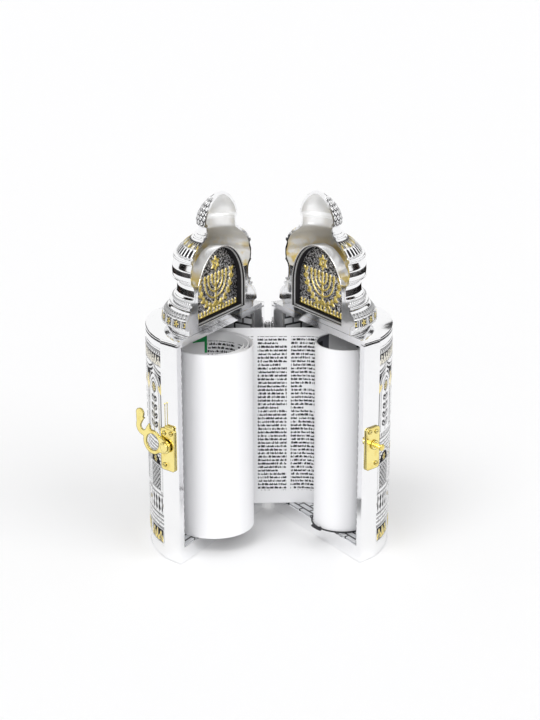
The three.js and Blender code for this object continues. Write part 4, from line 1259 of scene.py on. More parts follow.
@dataclass
class HalfShell:
    """Body of one half: rounded back, two flat facets, chamber, groove and flat seam face."""

    side: Side
    wall: float = 4.0
    front_stile: float = 6.5
    rear_stile: float = 17.5
    floor: float = 13.0
    ceiling: float = 184.5
    foot: float = 0.3
    relief_low: float = 10.0
    relief_high: float = 181.0
    relief_seat: float = 1.4
    groove: Span = (185.8, 187.4)
    groove_depth: float = 1.1
    edge: float = 0.5
    lap: float = 1.1
    # Pitch of the breaks in the dark line painted along the mouth's edge.
    dash_pitch: float = 6.2
    steps: int = 120
    mouth_steps: int = 240

    def _outline(self, inset: float, curve_inset: float) -> Line:
        """Outline from the rear seam edge round to the front one.

        Args:
            inset: Distance in from the facets.
            curve_inset: Distance in from the rounded back.

        Returns:
            Distances along and out of the seam.
        """
        first = math.asin((SIZES.facet_width / SIZES.width) ** (SIZES.plan_power / 2))
        along, out = SIZES.plan(np.linspace(first, math.pi - first, self.steps), curve_inset)
        drop, deep = SIZES.facet_drop, SIZES.depth
        flat = np.linspace(0, 1, 7)
        rear_along = inset + drop * flat
        rear_out = SIZES.seam + (SIZES.facet_width - SIZES.seam) * flat
        return (np.concatenate([rear_along, along, deep - rear_along[::-1]]),
                np.concatenate([rear_out, out, rear_out[::-1]]))

    def build(self, finish: Finish) -> Piece:
        """Make the shell.

        Args:
            finish: The plated silver.

        Returns:
            The piece, riding on its half.
        """
        shape, edge = Shape(), self.edge
        low, high = self.groove
        top = SIZES.body_height
        rings = [(self.foot, edge, edge), (self.foot + edge * 0.3, edge * 0.3, edge * 0.3), (self.foot + edge, 0, 0),
                 (self.relief_low, 0, 0), (self.relief_low, 0, self.relief_seat),
                 (self.relief_high, 0, self.relief_seat), (self.relief_high, 0, 0), (low, 0, 0),
                 (low, self.groove_depth, self.groove_depth), (high, self.groove_depth, self.groove_depth),
                 (high, 0, 0), (top - edge, 0, 0), (top - edge * 0.3, edge * 0.3, edge * 0.3), (top, edge, edge)]
        rows = []
        for up, inset, curve_inset in rings:
            along, out = self._outline(inset, curve_inset)
            rows.append(SIZES.to_row(self.side, along, out, up))
        dark = np.array([inset == self.groove_depth for _, inset, _ in rings], float)
        shape.grid(np.stack(rows), recess=np.broadcast_to(dark[:, None], (len(rings), len(rows[0]))))
        shape.polygon(rows[0])
        shape.polygon(rows[-1])
        self._seam_face(shape, rings)
        self._chamber(shape)
        made = shape.build(f"{self.side.word}_shell", 32.0)
        return fitted(made, self.side, (finish,), "polished_silver", "body_shell")

    def _seam_face(self, shape: Shape, rings: list[tuple[float, float, float]]) -> None:
        """Flat frame round the chamber's mouth, with the groove and the rounded edges in its outline."""
        ups = np.array([ring[0] for ring in rings])
        insets = np.array([ring[1] for ring in rings])
        deep, out = SIZES.depth, SIZES.seam
        mouth = (self.rear_stile, deep - self.front_stile)
        levels = np.linspace(self.floor, self.ceiling, self.mouth_steps)
        # A dark line is painted along the mouth's edge of the seam face, broken at a fixed pitch up its height.
        dashed_dark_edge = np.abs(np.sin(np.pi * levels / self.dash_pitch)) ** 0.5
        for ends, lap in ((mouth[0], -self.lap), (mouth[1], self.lap)):
            strip = [SIZES.to_row(self.side, place, out, levels) for place in (ends + lap, ends)]
            shape.grid(np.stack(strip), recess=np.stack([np.zeros_like(levels), dashed_dark_edge]))
        mouth = (mouth[0] - self.lap, mouth[1] + self.lap)
        for start, ends in ((insets, mouth[0]), (deep - insets, mouth[1])):
            shape.grid(np.stack([SIZES.to_row(self.side, along, out, ups) for along in (start, ends)]))
        for bottom, upper in ((ups[0], self.floor), (self.ceiling, ups[-1])):
            corners = [(mouth[0], bottom), (mouth[1], bottom), (mouth[1], upper), (mouth[0], upper)]
            along, up = np.array(corners).T
            shape.polygon(SIZES.to_row(self.side, along, out, up))

    def chamber_line(self, inset: float, gap: float = 0.0, steps: int = 120) -> Line:
        """Curved wall of the chamber from the rear stile to the front one.

        Args:
            inset: Distance in from the outer face.
            gap: Clearance to the stiles.
            steps: Number of points.

        Returns:
            Distances along and out of the seam.
        """
        middle = SIZES.depth / 2
        turns = []
        for along in (self.rear_stile + gap, SIZES.depth - self.front_stile - gap):
            share = (middle - along) / (middle - inset)
            turns.append(math.acos(math.copysign(abs(share) ** (SIZES.plan_power / 2), share)))
        return SIZES.plan(np.linspace(*turns, steps), inset)

    def _chamber(self, shape: Shape) -> None:
        """Walls, floor and ceiling of the chamber."""
        along, out = self.chamber_line(self.wall)
        along = np.concatenate([[self.rear_stile], along, [SIZES.depth - self.front_stile]])
        out = np.concatenate([[SIZES.seam], out, [SIZES.seam]])
        rows = [SIZES.to_row(self.side, along, out, up) for up in (self.floor, self.ceiling)]
        shape.grid(np.stack(rows))
        shape.polygon(rows[0])
        shape.polygon(rows[1])


@dataclass(frozen=True)
class LunetteSizes:
    """Sizes of the lunette in millimetres: heights are over the crown's foot, depths from the seam."""

    half: float = 34.4
    low: float = 4.6
    spring: float = 24.0
    high: float = 61.5
    step_out: float = 2.8
    back: float = 8.6
    wall: float = 1.2
    flange: float = 1.4
    ground_out: float = 7.1
    relief: float = 1.4
    lamp_bar: float = 1.72
    lamp_step: float = 5.16
    lamp_foot: float = 13.22
    lamp_rim: float = 34.89
    spray: float = 23.39
    star: float = 6.54
    star_up: float = 47.49
    fence_low: float = 6.7
    fence_height: float = 4.2
    fence_bars: int = 14
    flange_top: float = 38.0
    flange_steps: int = 60
    arch_steps: int = 96
    side_steps: int = 11
    foot_steps: int = 24
    ground_inset: float = 1.5
    peak: float = 6.0
    rows: int = 170
    peak_rows: int = 34
    columns: int = 221


LUNETTE = LunetteSizes()


def arch_line(inset: float) -> Line:
    """Outline of the lunette's arch.

    Args:
        inset: Distance in from the mouth, in millimetres.

    Returns:
        Distance from the lunette's middle and height over the crown's foot, as a closed line.
    """
    half, spring, low = LUNETTE.half - inset, LUNETTE.spring, LUNETTE.low + inset
    turn = np.linspace(0, math.pi, LUNETTE.arch_steps)
    side = np.linspace(low, spring, LUNETTE.side_steps + 1)[:-1]
    foot = np.linspace(-half, half, LUNETTE.foot_steps)
    across = np.concatenate([foot, np.full_like(side, half), half * np.cos(turn), np.full_like(side, -half)])
    arch = spring + (LUNETTE.high - spring - inset) * np.sin(turn)
    up = np.concatenate([np.full_like(foot, low), side, arch, side[::-1]])
    return across, up


@dataclass
class Lunette:
    """Arched tray in the mouth of a half crown, with a gilt lamp on a pebbled ground."""

    side: Side
    crown: HalfCrown

    def placed(self, across: Numbers, up: Numbers, out: Numbers) -> np.ndarray:
        """Points of the lunette in the shared frame, in metres."""
        return SIZES.to_row(self.side, SIZES.depth / 2 + across, out, self.crown.base + up)

    def build(self, silver: Finish, work: Finish) -> list[Piece]:
        """Make the tray and its relief.

        Args:
            silver: Finish of the tray.
            work: Finish of the relief and its ground.

        Returns:
            The two pieces, riding on their half.
        """
        return [self._tray(silver), self._relief(work)]

    def _tray(self, finish: Finish) -> Piece:
        """Rounded double rim, deep walls and the flat face round the foot."""
        shape = Shape()
        wall, seam, step = LUNETTE.wall, SIZES.seam, LUNETTE.step_out
        path = [(-wall, LUNETTE.back + wall, 0), (-wall, seam + 0.45, 0), (-wall + 0.15, seam + 0.12, 0),
                (-wall + 0.4, seam, 0), (-0.5, seam, 0), (-0.15, seam + 0.1, 0.5), (0, seam + 0.4, 0.9),
                (0, seam + 0.8, 1), (0, step - 0.9, 1), (0, step - 0.4, 0.7), (0.1, step - 0.15, 0),
                (0.35, step - 0.3, 0), (0.75, step - 0.3, 0.3), (wall - 0.1, step, 0.9), (wall, step + 0.4, 1),
                (wall, LUNETTE.back, 1)]
        rows, dark = [], []
        for inset, out, recess in path:
            across, up = arch_line(inset)
            rows.append(self.placed(across, up, out))
            dark.append(np.full(len(across) + 1, recess))
        shape.grid(np.stack([closed(row) for row in rows]), recess=np.stack(dark))
        shape.polygon(rows[-1], recess=np.ones(len(rows[-1])))
        shape.polygon(rows[0])
        self._flange(shape)
        made = shape.build(f"{self.side.word}_lunette_rim", 50.0, CROWN_WELD)
        return fitted(made, self.side, (finish,), "polished_silver", "lunette_tray")

    def _flange(self, shape: Shape) -> None:
        """Flat face that fills the crown's mouth on both sides of the arch and below it."""
        crown = self.crown
        band, dome = (inner_profile(fine_profile(shares, crown.radius, crown.height), levels, crown.wall)
                      for shares, levels in ((crown.band, crown.band_levels), (crown.dome, crown.dome_levels)))
        inner = np.vstack([band, dome[dome[:, 1] < LUNETTE.flange_top + 0.1]])
        levels = np.linspace(0, LUNETTE.flange_top, LUNETTE.flange_steps)
        reach = np.interp(levels, inner[:, 1], inner[:, 0]) - SIZES.clearance
        half = LUNETTE.half + LUNETTE.wall
        rise = np.clip((levels - LUNETTE.spring) / (LUNETTE.high - LUNETTE.spring + LUNETTE.wall), 0, 1)
        mouth = np.where(levels < LUNETTE.low - LUNETTE.wall, 0.0, half * np.sqrt(1 - rise ** 2) - SIZES.clearance)
        seam, back = SIZES.seam, SIZES.seam + LUNETTE.flange
        for sign in (-1, 1):
            face = [self.placed(sign * across, levels, out)
                    for across, out in ((mouth, seam), (reach, seam), (reach, back), (mouth, back))]
            shape.grid(np.stack(face))
            shape.polygon(np.stack([row[-1] for row in face]))
            shape.polygon(np.stack([row[0] for row in face]))

    def _relief(self, finish: Finish) -> Piece:
        """Ground plate with the raised lamp, sprays, star and row of bars."""
        inset = LUNETTE.ground_inset
        low, high = LUNETTE.low + inset, LUNETTE.high - inset
        levels = np.concatenate([np.linspace(low, high - LUNETTE.peak, LUNETTE.rows),
                                 np.linspace(high - LUNETTE.peak, high - 0.02, LUNETTE.peak_rows)[1:]])
        rise = np.clip((levels - LUNETTE.spring) / (high - LUNETTE.spring), 0, 1)
        half = (LUNETTE.half - inset) * np.sqrt(1 - rise ** 2)
        across = half[:, None] * np.linspace(-1, 1, LUNETTE.columns)
        up = np.broadcast_to(levels[:, None], across.shape).copy()
        relief = Relief(across, up, 0.9)
        relief.sunk[:] = 1.0
        self._lamp(relief)
        self._sprays(relief)
        self._star(relief)
        self._bars(relief)
        rounded = 1 - relief.sunk ** 1.6
        out = LUNETTE.ground_out - LUNETTE.relief * rounded
        shape = Shape()
        shape.grid(self.placed(across, up, out), ground=np.clip(relief.sunk * 1.6 - 0.6, 0, 1),
                   gilt=np.clip(relief.gilt * 2, 0, 1))
        edge = np.concatenate([across[:, 0], across[::-1, -1]])
        rim = np.concatenate([levels, levels[::-1]])
        depths = (LUNETTE.ground_out, LUNETTE.ground_out + LUNETTE.wall)
        shape.grid(np.stack([self.placed(edge, rim, depth) for depth in depths]), ground=np.ones((2, len(rim))))
        made = shape.build(f"{self.side.word}_lunette_work", 180.0, CROWN_WELD)
        return fitted(made, self.side, (finish,), "gold_relief",
                      "lunette_panel", "lunette_lamp", "lunette_star", "lunette_fence")

    def _lamp(self, relief: Relief) -> None:
        """Seven-branched lamp with knops, a stepped foot and pointed flames."""
        x, up, bar, step = relief.x, relief.z, LUNETTE.lamp_bar, LUNETTE.lamp_step
        foot, rim = LUNETTE.lamp_foot, LUNETTE.lamp_rim
        relief.lift(line_gap(x, up, (0, foot), (0, rim), bar), 1.0)
        for level, half in ((foot - bar * 0.4, 4.6), (foot + bar * 0.4, 3.0), (foot + bar * 1.2, 1.7)):
            relief.lift(box_gap(x, up - level, bar * half, bar * 0.34), 1.0)
        for branch in (1, 2, 3):
            ring = np.abs(np.hypot(x, up - rim) - step * branch) - bar * 0.36
            relief.lift(np.maximum(ring, up - rim), 1.0)
            relief.lift(disc_gap(x, up - (rim - step * branch), bar * 0.85), 1.0)
        for branch in range(-3, 4):
            relief.lift(box_gap(x - step * branch, up - rim, bar * 0.85, bar * 0.3), 1.0)
            relief.lift(leaf_gap(x, up, (step * branch, rim + bar * 0.2), math.pi / 2, step * 0.95, step * 0.24), 1.0)

    def _sprays(self, relief: Relief) -> None:
        """Two bowed stems with paired leaves and small berries."""
        x, up = relief.x, relief.z
        middle = LUNETTE.lamp_foot - LUNETTE.lamp_bar / 2 + LUNETTE.spray
        stem = np.abs(np.hypot(x, up - middle) - LUNETTE.spray) - 0.5
        relief.lift(np.maximum(stem, up - middle - 1), 1.0)
        for leaf in range(6):
            turn = math.pi * (0.42 - 0.42 * leaf / 5)
            for mirror in (-1, 1):
                spot = (mirror * LUNETTE.spray * math.cos(turn), middle - LUNETTE.spray * math.sin(turn))
                run = math.pi / 2 - mirror * turn
                for lean in (-0.6, 0.6):
                    relief.lift(leaf_gap(x, up, spot, run + lean, LUNETTE.lamp_step, 1.15), 1.0)
                relief.lift(disc_gap(x - spot[0] * 0.93, up - spot[1], 0.75), 0.3)

    def _star(self, relief: Relief) -> None:
        """Six-pointed star of two open triangles with a pearl in it."""
        x, up = relief.x, relief.z - LUNETTE.star_up
        for lean in (0.5, -0.5):
            ways = [math.pi * (lean + 1 + k * 2 / 3) for k in range(3)]
            gaps = [x * math.cos(way) + up * math.sin(way) for way in ways]
            solid = np.max(gaps, axis=0) - LUNETTE.star / 2
            relief.lift(np.abs(solid + 0.55) - 0.62, 1.0)
        relief.lift(disc_gap(x, up, 1.1), 1.0)

    def _bars(self, relief: Relief) -> None:
        """Row of short bars with round heads on a rail."""
        half, count = LUNETTE.half - 2.4, LUNETTE.fence_bars
        pitch, low, tall = 2 * half / count, LUNETTE.fence_low, LUNETTE.fence_height
        within = np.abs(relief.x) - half
        x = tile(relief.x, pitch, pitch / 2)
        relief.lift(box_gap(x, relief.z - low - tall * 0.42, pitch * 0.2, tall * 0.42), 1.0, within)
        relief.lift(disc_gap(x, relief.z - low - tall * 0.92, pitch * 0.24), 1.0, within)
        relief.lift(relief.between(low, low + tall * 0.26), 1.0, within)


@dataclass
class Linings:
    """Brick-printed card on the wall and the floor of one chamber."""

    side: Side
    shell: HalfShell
    thickness: float = 0.6
    gap: float = SIZES.clearance
    setback: float = 2.2
    flap_out: float = 0.06
    flap_steps: int = 7
    levels: int = 24

    def build(self, finish: Finish) -> list[Piece]:
        """Make both cards.

        Args:
            finish: The printed card.

        Returns:
            The two pieces, riding on their half.
        """
        return [self._wall(finish), self._floor(finish)]

    def _wall(self, finish: Finish) -> Piece:
        """Card round the curved wall."""
        low, high = self.shell.floor + self.gap, self.shell.ceiling - self.gap
        back = self.shell.wall + self.gap
        shape = Shape()
        lines = [self._lined(back, self.gap), self._lined(back + self.thickness, self.gap + self.thickness)]
        along, out = lines[1]
        run = run_along(along, out) * MM
        levels = np.linspace(low, high, self.levels)
        for along, out in lines:
            rows = np.stack([SIZES.to_row(self.side, along, out, up) for up in levels])
            sheet = np.stack(np.broadcast_arrays(run, levels[:, None] * MM), axis=-1)
            shape.grid(rows, sheet=sheet)
        for end in (0, -1):
            edge = [SIZES.to_row(self.side, along[end], out[end], levels) for along, out in lines]
            sheet = np.stack(np.broadcast_arrays(run[end], levels * MM), axis=-1)
            shape.grid(np.stack(edge), sheet=np.stack([sheet, sheet]))
        made = shape.build(f"{self.side.word}_wall_card", 50.0, FINE_WELD)
        return fitted(made, self.side, (finish,), "brick_lining", "wall_lining")

    def _lined(self, inset: float, gap: float) -> Line:
        """Line of the wall card in plan, with a flap at each end that comes forward over the stile's side."""
        along, out = self.shell.chamber_line(inset, gap)
        flap = np.linspace(self.flap_out, 1.0, self.flap_steps + 1)[:-1]
        return (np.concatenate([np.full(self.flap_steps, along[0]), along, np.full(self.flap_steps, along[-1])]),
                np.concatenate([flap * out[0], out, flap[::-1] * out[-1]]))

    def _floor(self, finish: Finish) -> Piece:
        """Card on the floor."""
        low = self.shell.floor + self.gap
        inset = self.shell.wall + self.gap + self.thickness + self.gap
        along, out = self.shell.chamber_line(inset, self.gap)
        along = np.concatenate([along[:1], along, along[-1:]])
        out = np.concatenate([[self.setback], out, [self.setback]])
        rows = [SIZES.to_row(self.side, along, out, up) for up in (low, low + self.thickness)]
        sheet = np.stack([along, out], axis=-1) * MM
        shape = Shape()
        shape.polygon(rows[1], sheet=sheet)
        shape.polygon(rows[0], sheet=sheet)
        shape.grid(np.stack([closed(row) for row in rows]), sheet=np.stack([closed(sheet)] * 2))
        made = shape.build(f"{self.side.word}_floor_card", 50.0, FINE_WELD)
        return fitted(made, self.side, (finish,), "brick_lining", "floor_lining")


@dataclass
class FootFelt:
    """Felt under one half, with a soft lower edge."""

    side: Side
    inset: float = 5.3
    thickness: float = 1.8
    soft: float = 0.5
    steps: int = 120

    def build(self, finish: Finish) -> Piece:
        """Make the felt.

        Args:
            finish: The felt.

        Returns:
            The piece, riding on its half.
        """
        rows = []
        for up, inset in ((self.thickness, 0), (self.soft, 0), (self.soft * 0.3, self.soft * 0.3), (0, self.soft)):
            reach = self.inset + inset
            first = math.asin((reach / (SIZES.width - reach)) ** (SIZES.plan_power / 2))
            along, out = SIZES.plan(np.linspace(first, math.pi - first, self.steps), reach)
            rows.append(closed(SIZES.to_row(self.side, along, out, up)))
        shape = Shape()
        shape.closed_tube(np.stack(rows))
        made = shape.build(f"{self.side.word}_foot_felt", 50.0)
        return fitted(made, self.side, (finish,), "black_felt", "base_pad")


@dataclass
class PaperScroll:
    """Printed scroll: a loose roll in each half and the open leaf between them.

    Places are in millimetres off the hinge's axis, as the solids have them.
    """

    bottom: float = 14.2
    height: float = 159.0
    thickness: float = 0.4
    left_centre: tuple[float, float] = (-45.59, -62.395)
    left_radius: float = 33.4
    left_turns: float = 2.75
    left_pitch: float = 2.6
    left_drift: float = 1.2
    leaf_y: float = -24.405
    right_centre: tuple[float, float] = (60.797, -62.0)
    right_radius: float = 23.7
    right_turns: float = 2.25
    right_pitch: float = 1.1
    right_end_y: float = -35.0
    leaf_gap: float = 0.3
    levels: int = 20
    turn_steps: int = 200
    leaf_steps: int = 60
    anchor_up: float = 0.09
    left_keep: float = 0.4
    right_keep: float = 0.83

    def winding(self, side: Side, turn: np.ndarray, offset: float) -> Line:
        """Line of a roll's sheet, in from its outer end at the back.

        Args:
            side: The roll.
            turn: Angle wound, in radians.
            offset: Distance outwards from the sheet's middle.

        Returns:
            Places off the hinge's axis.
        """
        left = side is Side.LEFT
        (cx, cy), radius = (self.left_centre, self.left_radius) if left else (self.right_centre, self.right_radius)
        end, pitch = (self.leaf_y, self.left_pitch) if left else (self.right_end_y, self.right_pitch)
        wind, drift = (1, self.left_drift) if left else (-1, 0.0)
        easing = np.maximum(0, 1 - turn / math.pi) ** 2
        inward = np.maximum(0, turn - math.pi) / (2 * math.pi)
        reach = radius + (end - cy - radius) * easing - pitch * inward + offset
        angle = math.pi / 2 + wind * turn
        return cx + reach * np.cos(angle) - wind * drift * inward, cy + reach * np.sin(angle) - drift * inward

    def placed(self, x: Numbers, y: Numbers, up: Numbers) -> np.ndarray:
        """Points off the hinge's axis carried into the shared frame, in metres."""
        return np.stack(np.broadcast_arrays(x + SIZES.hinge_at[0], y + SIZES.hinge_at[1], up), axis=-1) * MM

    def anchor(self, point: np.ndarray) -> tuple[float, float, float]:
        """Place where the leaf meets a roll, in metres."""
        return ((point[0] + SIZES.hinge_at[0]) * MM, (point[1] + SIZES.hinge_at[1]) * MM, self.anchor_up)

    def _sheet(self, faces: list[Line], run: np.ndarray) -> Shape:
        """Thin sheet between two lines in plan.

        Args:
            faces: The blank face's line and the printed face's line.
            run: Place along the whole scroll of each point, in millimetres.

        Returns:
            The sheet, with the printed face in the second material.
        """
        levels = np.linspace(0, self.height, self.levels)
        sheet = np.stack(np.broadcast_arrays(run * MM, levels[:, None] * MM), axis=-1)
        shape = Shape()
        walls = [self.placed(x, y, self.bottom + levels[:, None]) for x, y in faces]
        shape.grid(walls[0], sheet=sheet)
        shape.grid(walls[1], sheet=sheet, slot=1)
        for edge in (0, -1):
            shape.grid(np.stack([wall[edge] for wall in walls]), sheet=np.stack([sheet[edge]] * 2))
            shape.grid(np.stack([wall[:, edge] for wall in walls]), sheet=np.stack([sheet[:, edge]] * 2))
        return shape

    def leaf_line(self) -> np.ndarray:
        """Middle line of the open leaf: flat, then easing back to the smaller roll."""
        start, end = self.left_centre[0] + self.leaf_gap, self.right_centre[0] - self.leaf_gap
        bend = end - self.right_radius * 1.35
        share = np.linspace(0, 1, self.leaf_steps)[:, None]
        knots = np.array([(bend, self.leaf_y), (bend + self.right_radius * 0.7, self.leaf_y),
                          (end - self.right_radius * 0.5, self.right_end_y), (end, self.right_end_y)])
        curve = ((1 - share) ** 3 * knots[0] + 3 * share * (1 - share) ** 2 * knots[1]
                 + 3 * share ** 2 * (1 - share) * knots[2] + share ** 3 * knots[3])
        flat = np.linspace(start, bend, self.leaf_steps)[:-1]
        return np.vstack([np.stack([flat, np.full_like(flat, self.leaf_y)], axis=-1), curve])

    def build(self, blank: Finish, printed: Finish) -> list[Piece]:
        """Make the leaf and the two rolls.

        Args:
            blank: Back of the paper.
            printed: Front of the paper.

        Returns:
            The three pieces.
        """
        line = self.leaf_line()
        way = np.gradient(line, axis=0)
        way /= np.linalg.norm(way, axis=1, keepdims=True)
        side = np.stack([-way[:, 1], way[:, 0]], axis=-1) * self.thickness / 2
        run = run_along(*line.T)
        leaf = self._sheet([tuple((line + side).T), tuple((line - side).T)], run).build("open_page", 50.0, FINE_WELD)
        start, end = self.anchor(line[0]), self.anchor(line[-1])
        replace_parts(leaf, "open_leaf")
        made = [leaf]
        for half, turns, anchor, keep in ((Side.LEFT, self.left_turns, start, self.left_keep),
                                          (Side.RIGHT, self.right_turns, end, self.right_keep)):
            turn = np.linspace(0, 2 * math.pi * turns, int(self.turn_steps * turns))
            outer, inner = (self.winding(half, turn, face * self.thickness / 2) for face in (1, -1))
            wound = run_along(*outer)
            along = -wound if half is Side.LEFT else run[-1] + wound
            roll = self._sheet([outer, inner], along).build(f"{half.word}_paper_roll", 50.0, FINE_WELD)
            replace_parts(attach(roll, half.body), f"{half.word}_roll")
            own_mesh(roll)
            made.append(roll)
        for piece in made:
            piece.data.materials.append(blank)
            piece.data.materials.append(printed)
        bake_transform(leaf)
        return made


def tube(path: np.ndarray, radius: Numbers, flat: float = 1.0, sides: int = 12) -> np.ndarray:
    """Grid of points round a path that runs level or nearly so.

    Args:
        path: Points of its middle line.
        radius: Radius at each point, or everywhere.
        flat: Height of the section over its width.
        sides: Sides of the section.

    Returns:
        Rows of points, each closed.
    """
    way = np.gradient(path, axis=0)
    way /= np.linalg.norm(way, axis=1, keepdims=True)
    across = np.cross(way, (0.0, 0.0, 1.0))
    across /= np.maximum(np.linalg.norm(across, axis=1, keepdims=True), 1e-9)
    rise = np.cross(across, way)
    turn = np.linspace(0, 2 * math.pi, sides + 1)[None, :, None]
    reach = np.asarray(radius, float).reshape(-1, 1, 1)
    return path[:, None] + reach * (np.cos(turn) * across[:, None] + flat * np.sin(turn) * rise[:, None])


@dataclass
class RollTie:
    """Black elastic round the foot of the right roll, with a knot and a flat folded tab at its front left."""

    scroll: PaperScroll
    radius: float = 0.65
    offset: float = 1.45
    start: float = 0.45
    knot_turn: float = 4.0
    knot_radius: float = 1.9
    tab_turns: Span = (4.34, 3.9)
    tab_away: float = 1.7
    tab_half: float = 1.7
    tab_flat: float = 0.4
    loop_steps: int = 160
    knot_steps: int = 60
    tab_steps: int = 24

    def _at(self, turn: Numbers, further: float, up: float) -> np.ndarray:
        """Points beside the right roll, in metres."""
        return self.scroll.placed(*self.scroll.winding(Side.RIGHT, turn, self.offset + further), up)

    def build(self, finish: Finish) -> list[Piece]:
        """Make the loop, the knot and the tab.

        Args:
            finish: The braided elastic.

        Returns:
            The loop, then the knot with its tab, riding on the right half.
        """
        level = self.scroll.bottom + self.radius
        band, bow = Shape(), Shape()
        loop = self._at(np.linspace(self.start, 2 * math.pi - self.start / 3, self.loop_steps), 0.0, level)
        band.closed_tube(tube(loop, self.radius * MM))
        knot = self._at(self.knot_turn, self.knot_radius * 0.4, level + self.radius * 0.6)
        turn = np.linspace(0, 2 * math.pi, self.knot_steps)
        wound = np.stack([(np.sin(turn) + 1.6 * np.sin(2 * turn)), (np.cos(turn) - 1.6 * np.cos(2 * turn)),
                          -0.55 * np.sin(3 * turn)], axis=-1) * (self.knot_radius * 0.3 * MM) + knot
        bow.closed_tube(tube(wound, self.radius * 0.85 * MM))
        for narrow, lift in ((1.0, 0.0), (0.6, self.radius)):
            ribbon = self._at(np.linspace(*self.tab_turns, self.tab_steps), self.tab_away,
                              level - self.radius * 0.3 + lift)
            width = self.tab_half * narrow * np.minimum(1, np.linspace(0.6, 12, self.tab_steps))
            bow.closed_tube(tube(ribbon, width * MM, self.tab_flat))
        tie, knotted = band.build("elastic_tie", 60.0, FINE_WELD), bow.build("elastic_knot", 60.0, FINE_WELD)
        anchor = self.scroll.anchor(self.scroll.leaf_line()[-1])
        for piece in (tie, knotted):
            fitted(piece, Side.RIGHT, (finish,), "tie_cord")
            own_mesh(piece)
        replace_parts(tie, "roll_tie")
        return [tie, knotted]


@dataclass
class LatchNeedle:
    """Folded lug on the top edge of the left latch plate, with a thin headed needle that stands up from it."""

    lug_start: tuple[float, float, float] = (-80.4, -49.9, 117.6)
    lug_end: tuple[float, float, float] = (-73.0, -56.7, 117.6)
    lug_half: float = 0.7
    lug_flat: float = 2.6
    needle_radius: float = 0.32
    needle_top: float = 138.0
    head_radius: float = 0.75
    lug_steps: int = 30
    needle_steps: int = 12
    sides: int = 16

    def build(self, finish: Finish) -> Piece:
        """Make the lug and the needle.

        Args:
            finish: The brass.

        Returns:
            The piece, riding on the left half.
        """
        shape = Shape()
        start, end = np.array(self.lug_start), np.array(self.lug_end)
        share = np.linspace(0, 1, self.lug_steps)[:, None]
        lug = (start + (end - start) * share) * MM
        wide = np.minimum(1, np.minimum(share, 1 - share).ravel() * 9 + 0.3) * self.lug_half
        shape.closed_tube(tube(lug, wide * MM, self.lug_flat))
        foot = start + (end - start) * 0.08
        neck = self.needle_top - 2 * self.head_radius
        levels = np.concatenate([np.linspace(foot[2], neck, self.needle_steps),
                                 np.linspace(neck, self.needle_top, self.needle_steps + 1)[1:]])
        from_head = np.clip((levels - self.needle_top + self.head_radius) / self.head_radius, -1, 1)
        stem = self.needle_radius * (levels < self.needle_top - self.head_radius)
        wide = np.maximum(stem, self.head_radius * np.sqrt(1 - from_head ** 2))
        turn = np.linspace(0, 2 * math.pi, self.sides + 1)
        rows = [np.stack([foot[0] + w * np.cos(turn), foot[1] + w * np.sin(turn), np.full_like(turn, up)], axis=-1) * MM
                for w, up in zip(np.maximum(wide, 0.02), levels)]
        shape.closed_tube(np.stack(rows))
        made = shape.build("left_latch_needle", 50.0, FINE_WELD)
        return fitted(made, Side.LEFT, (finish,), "latch_brass")


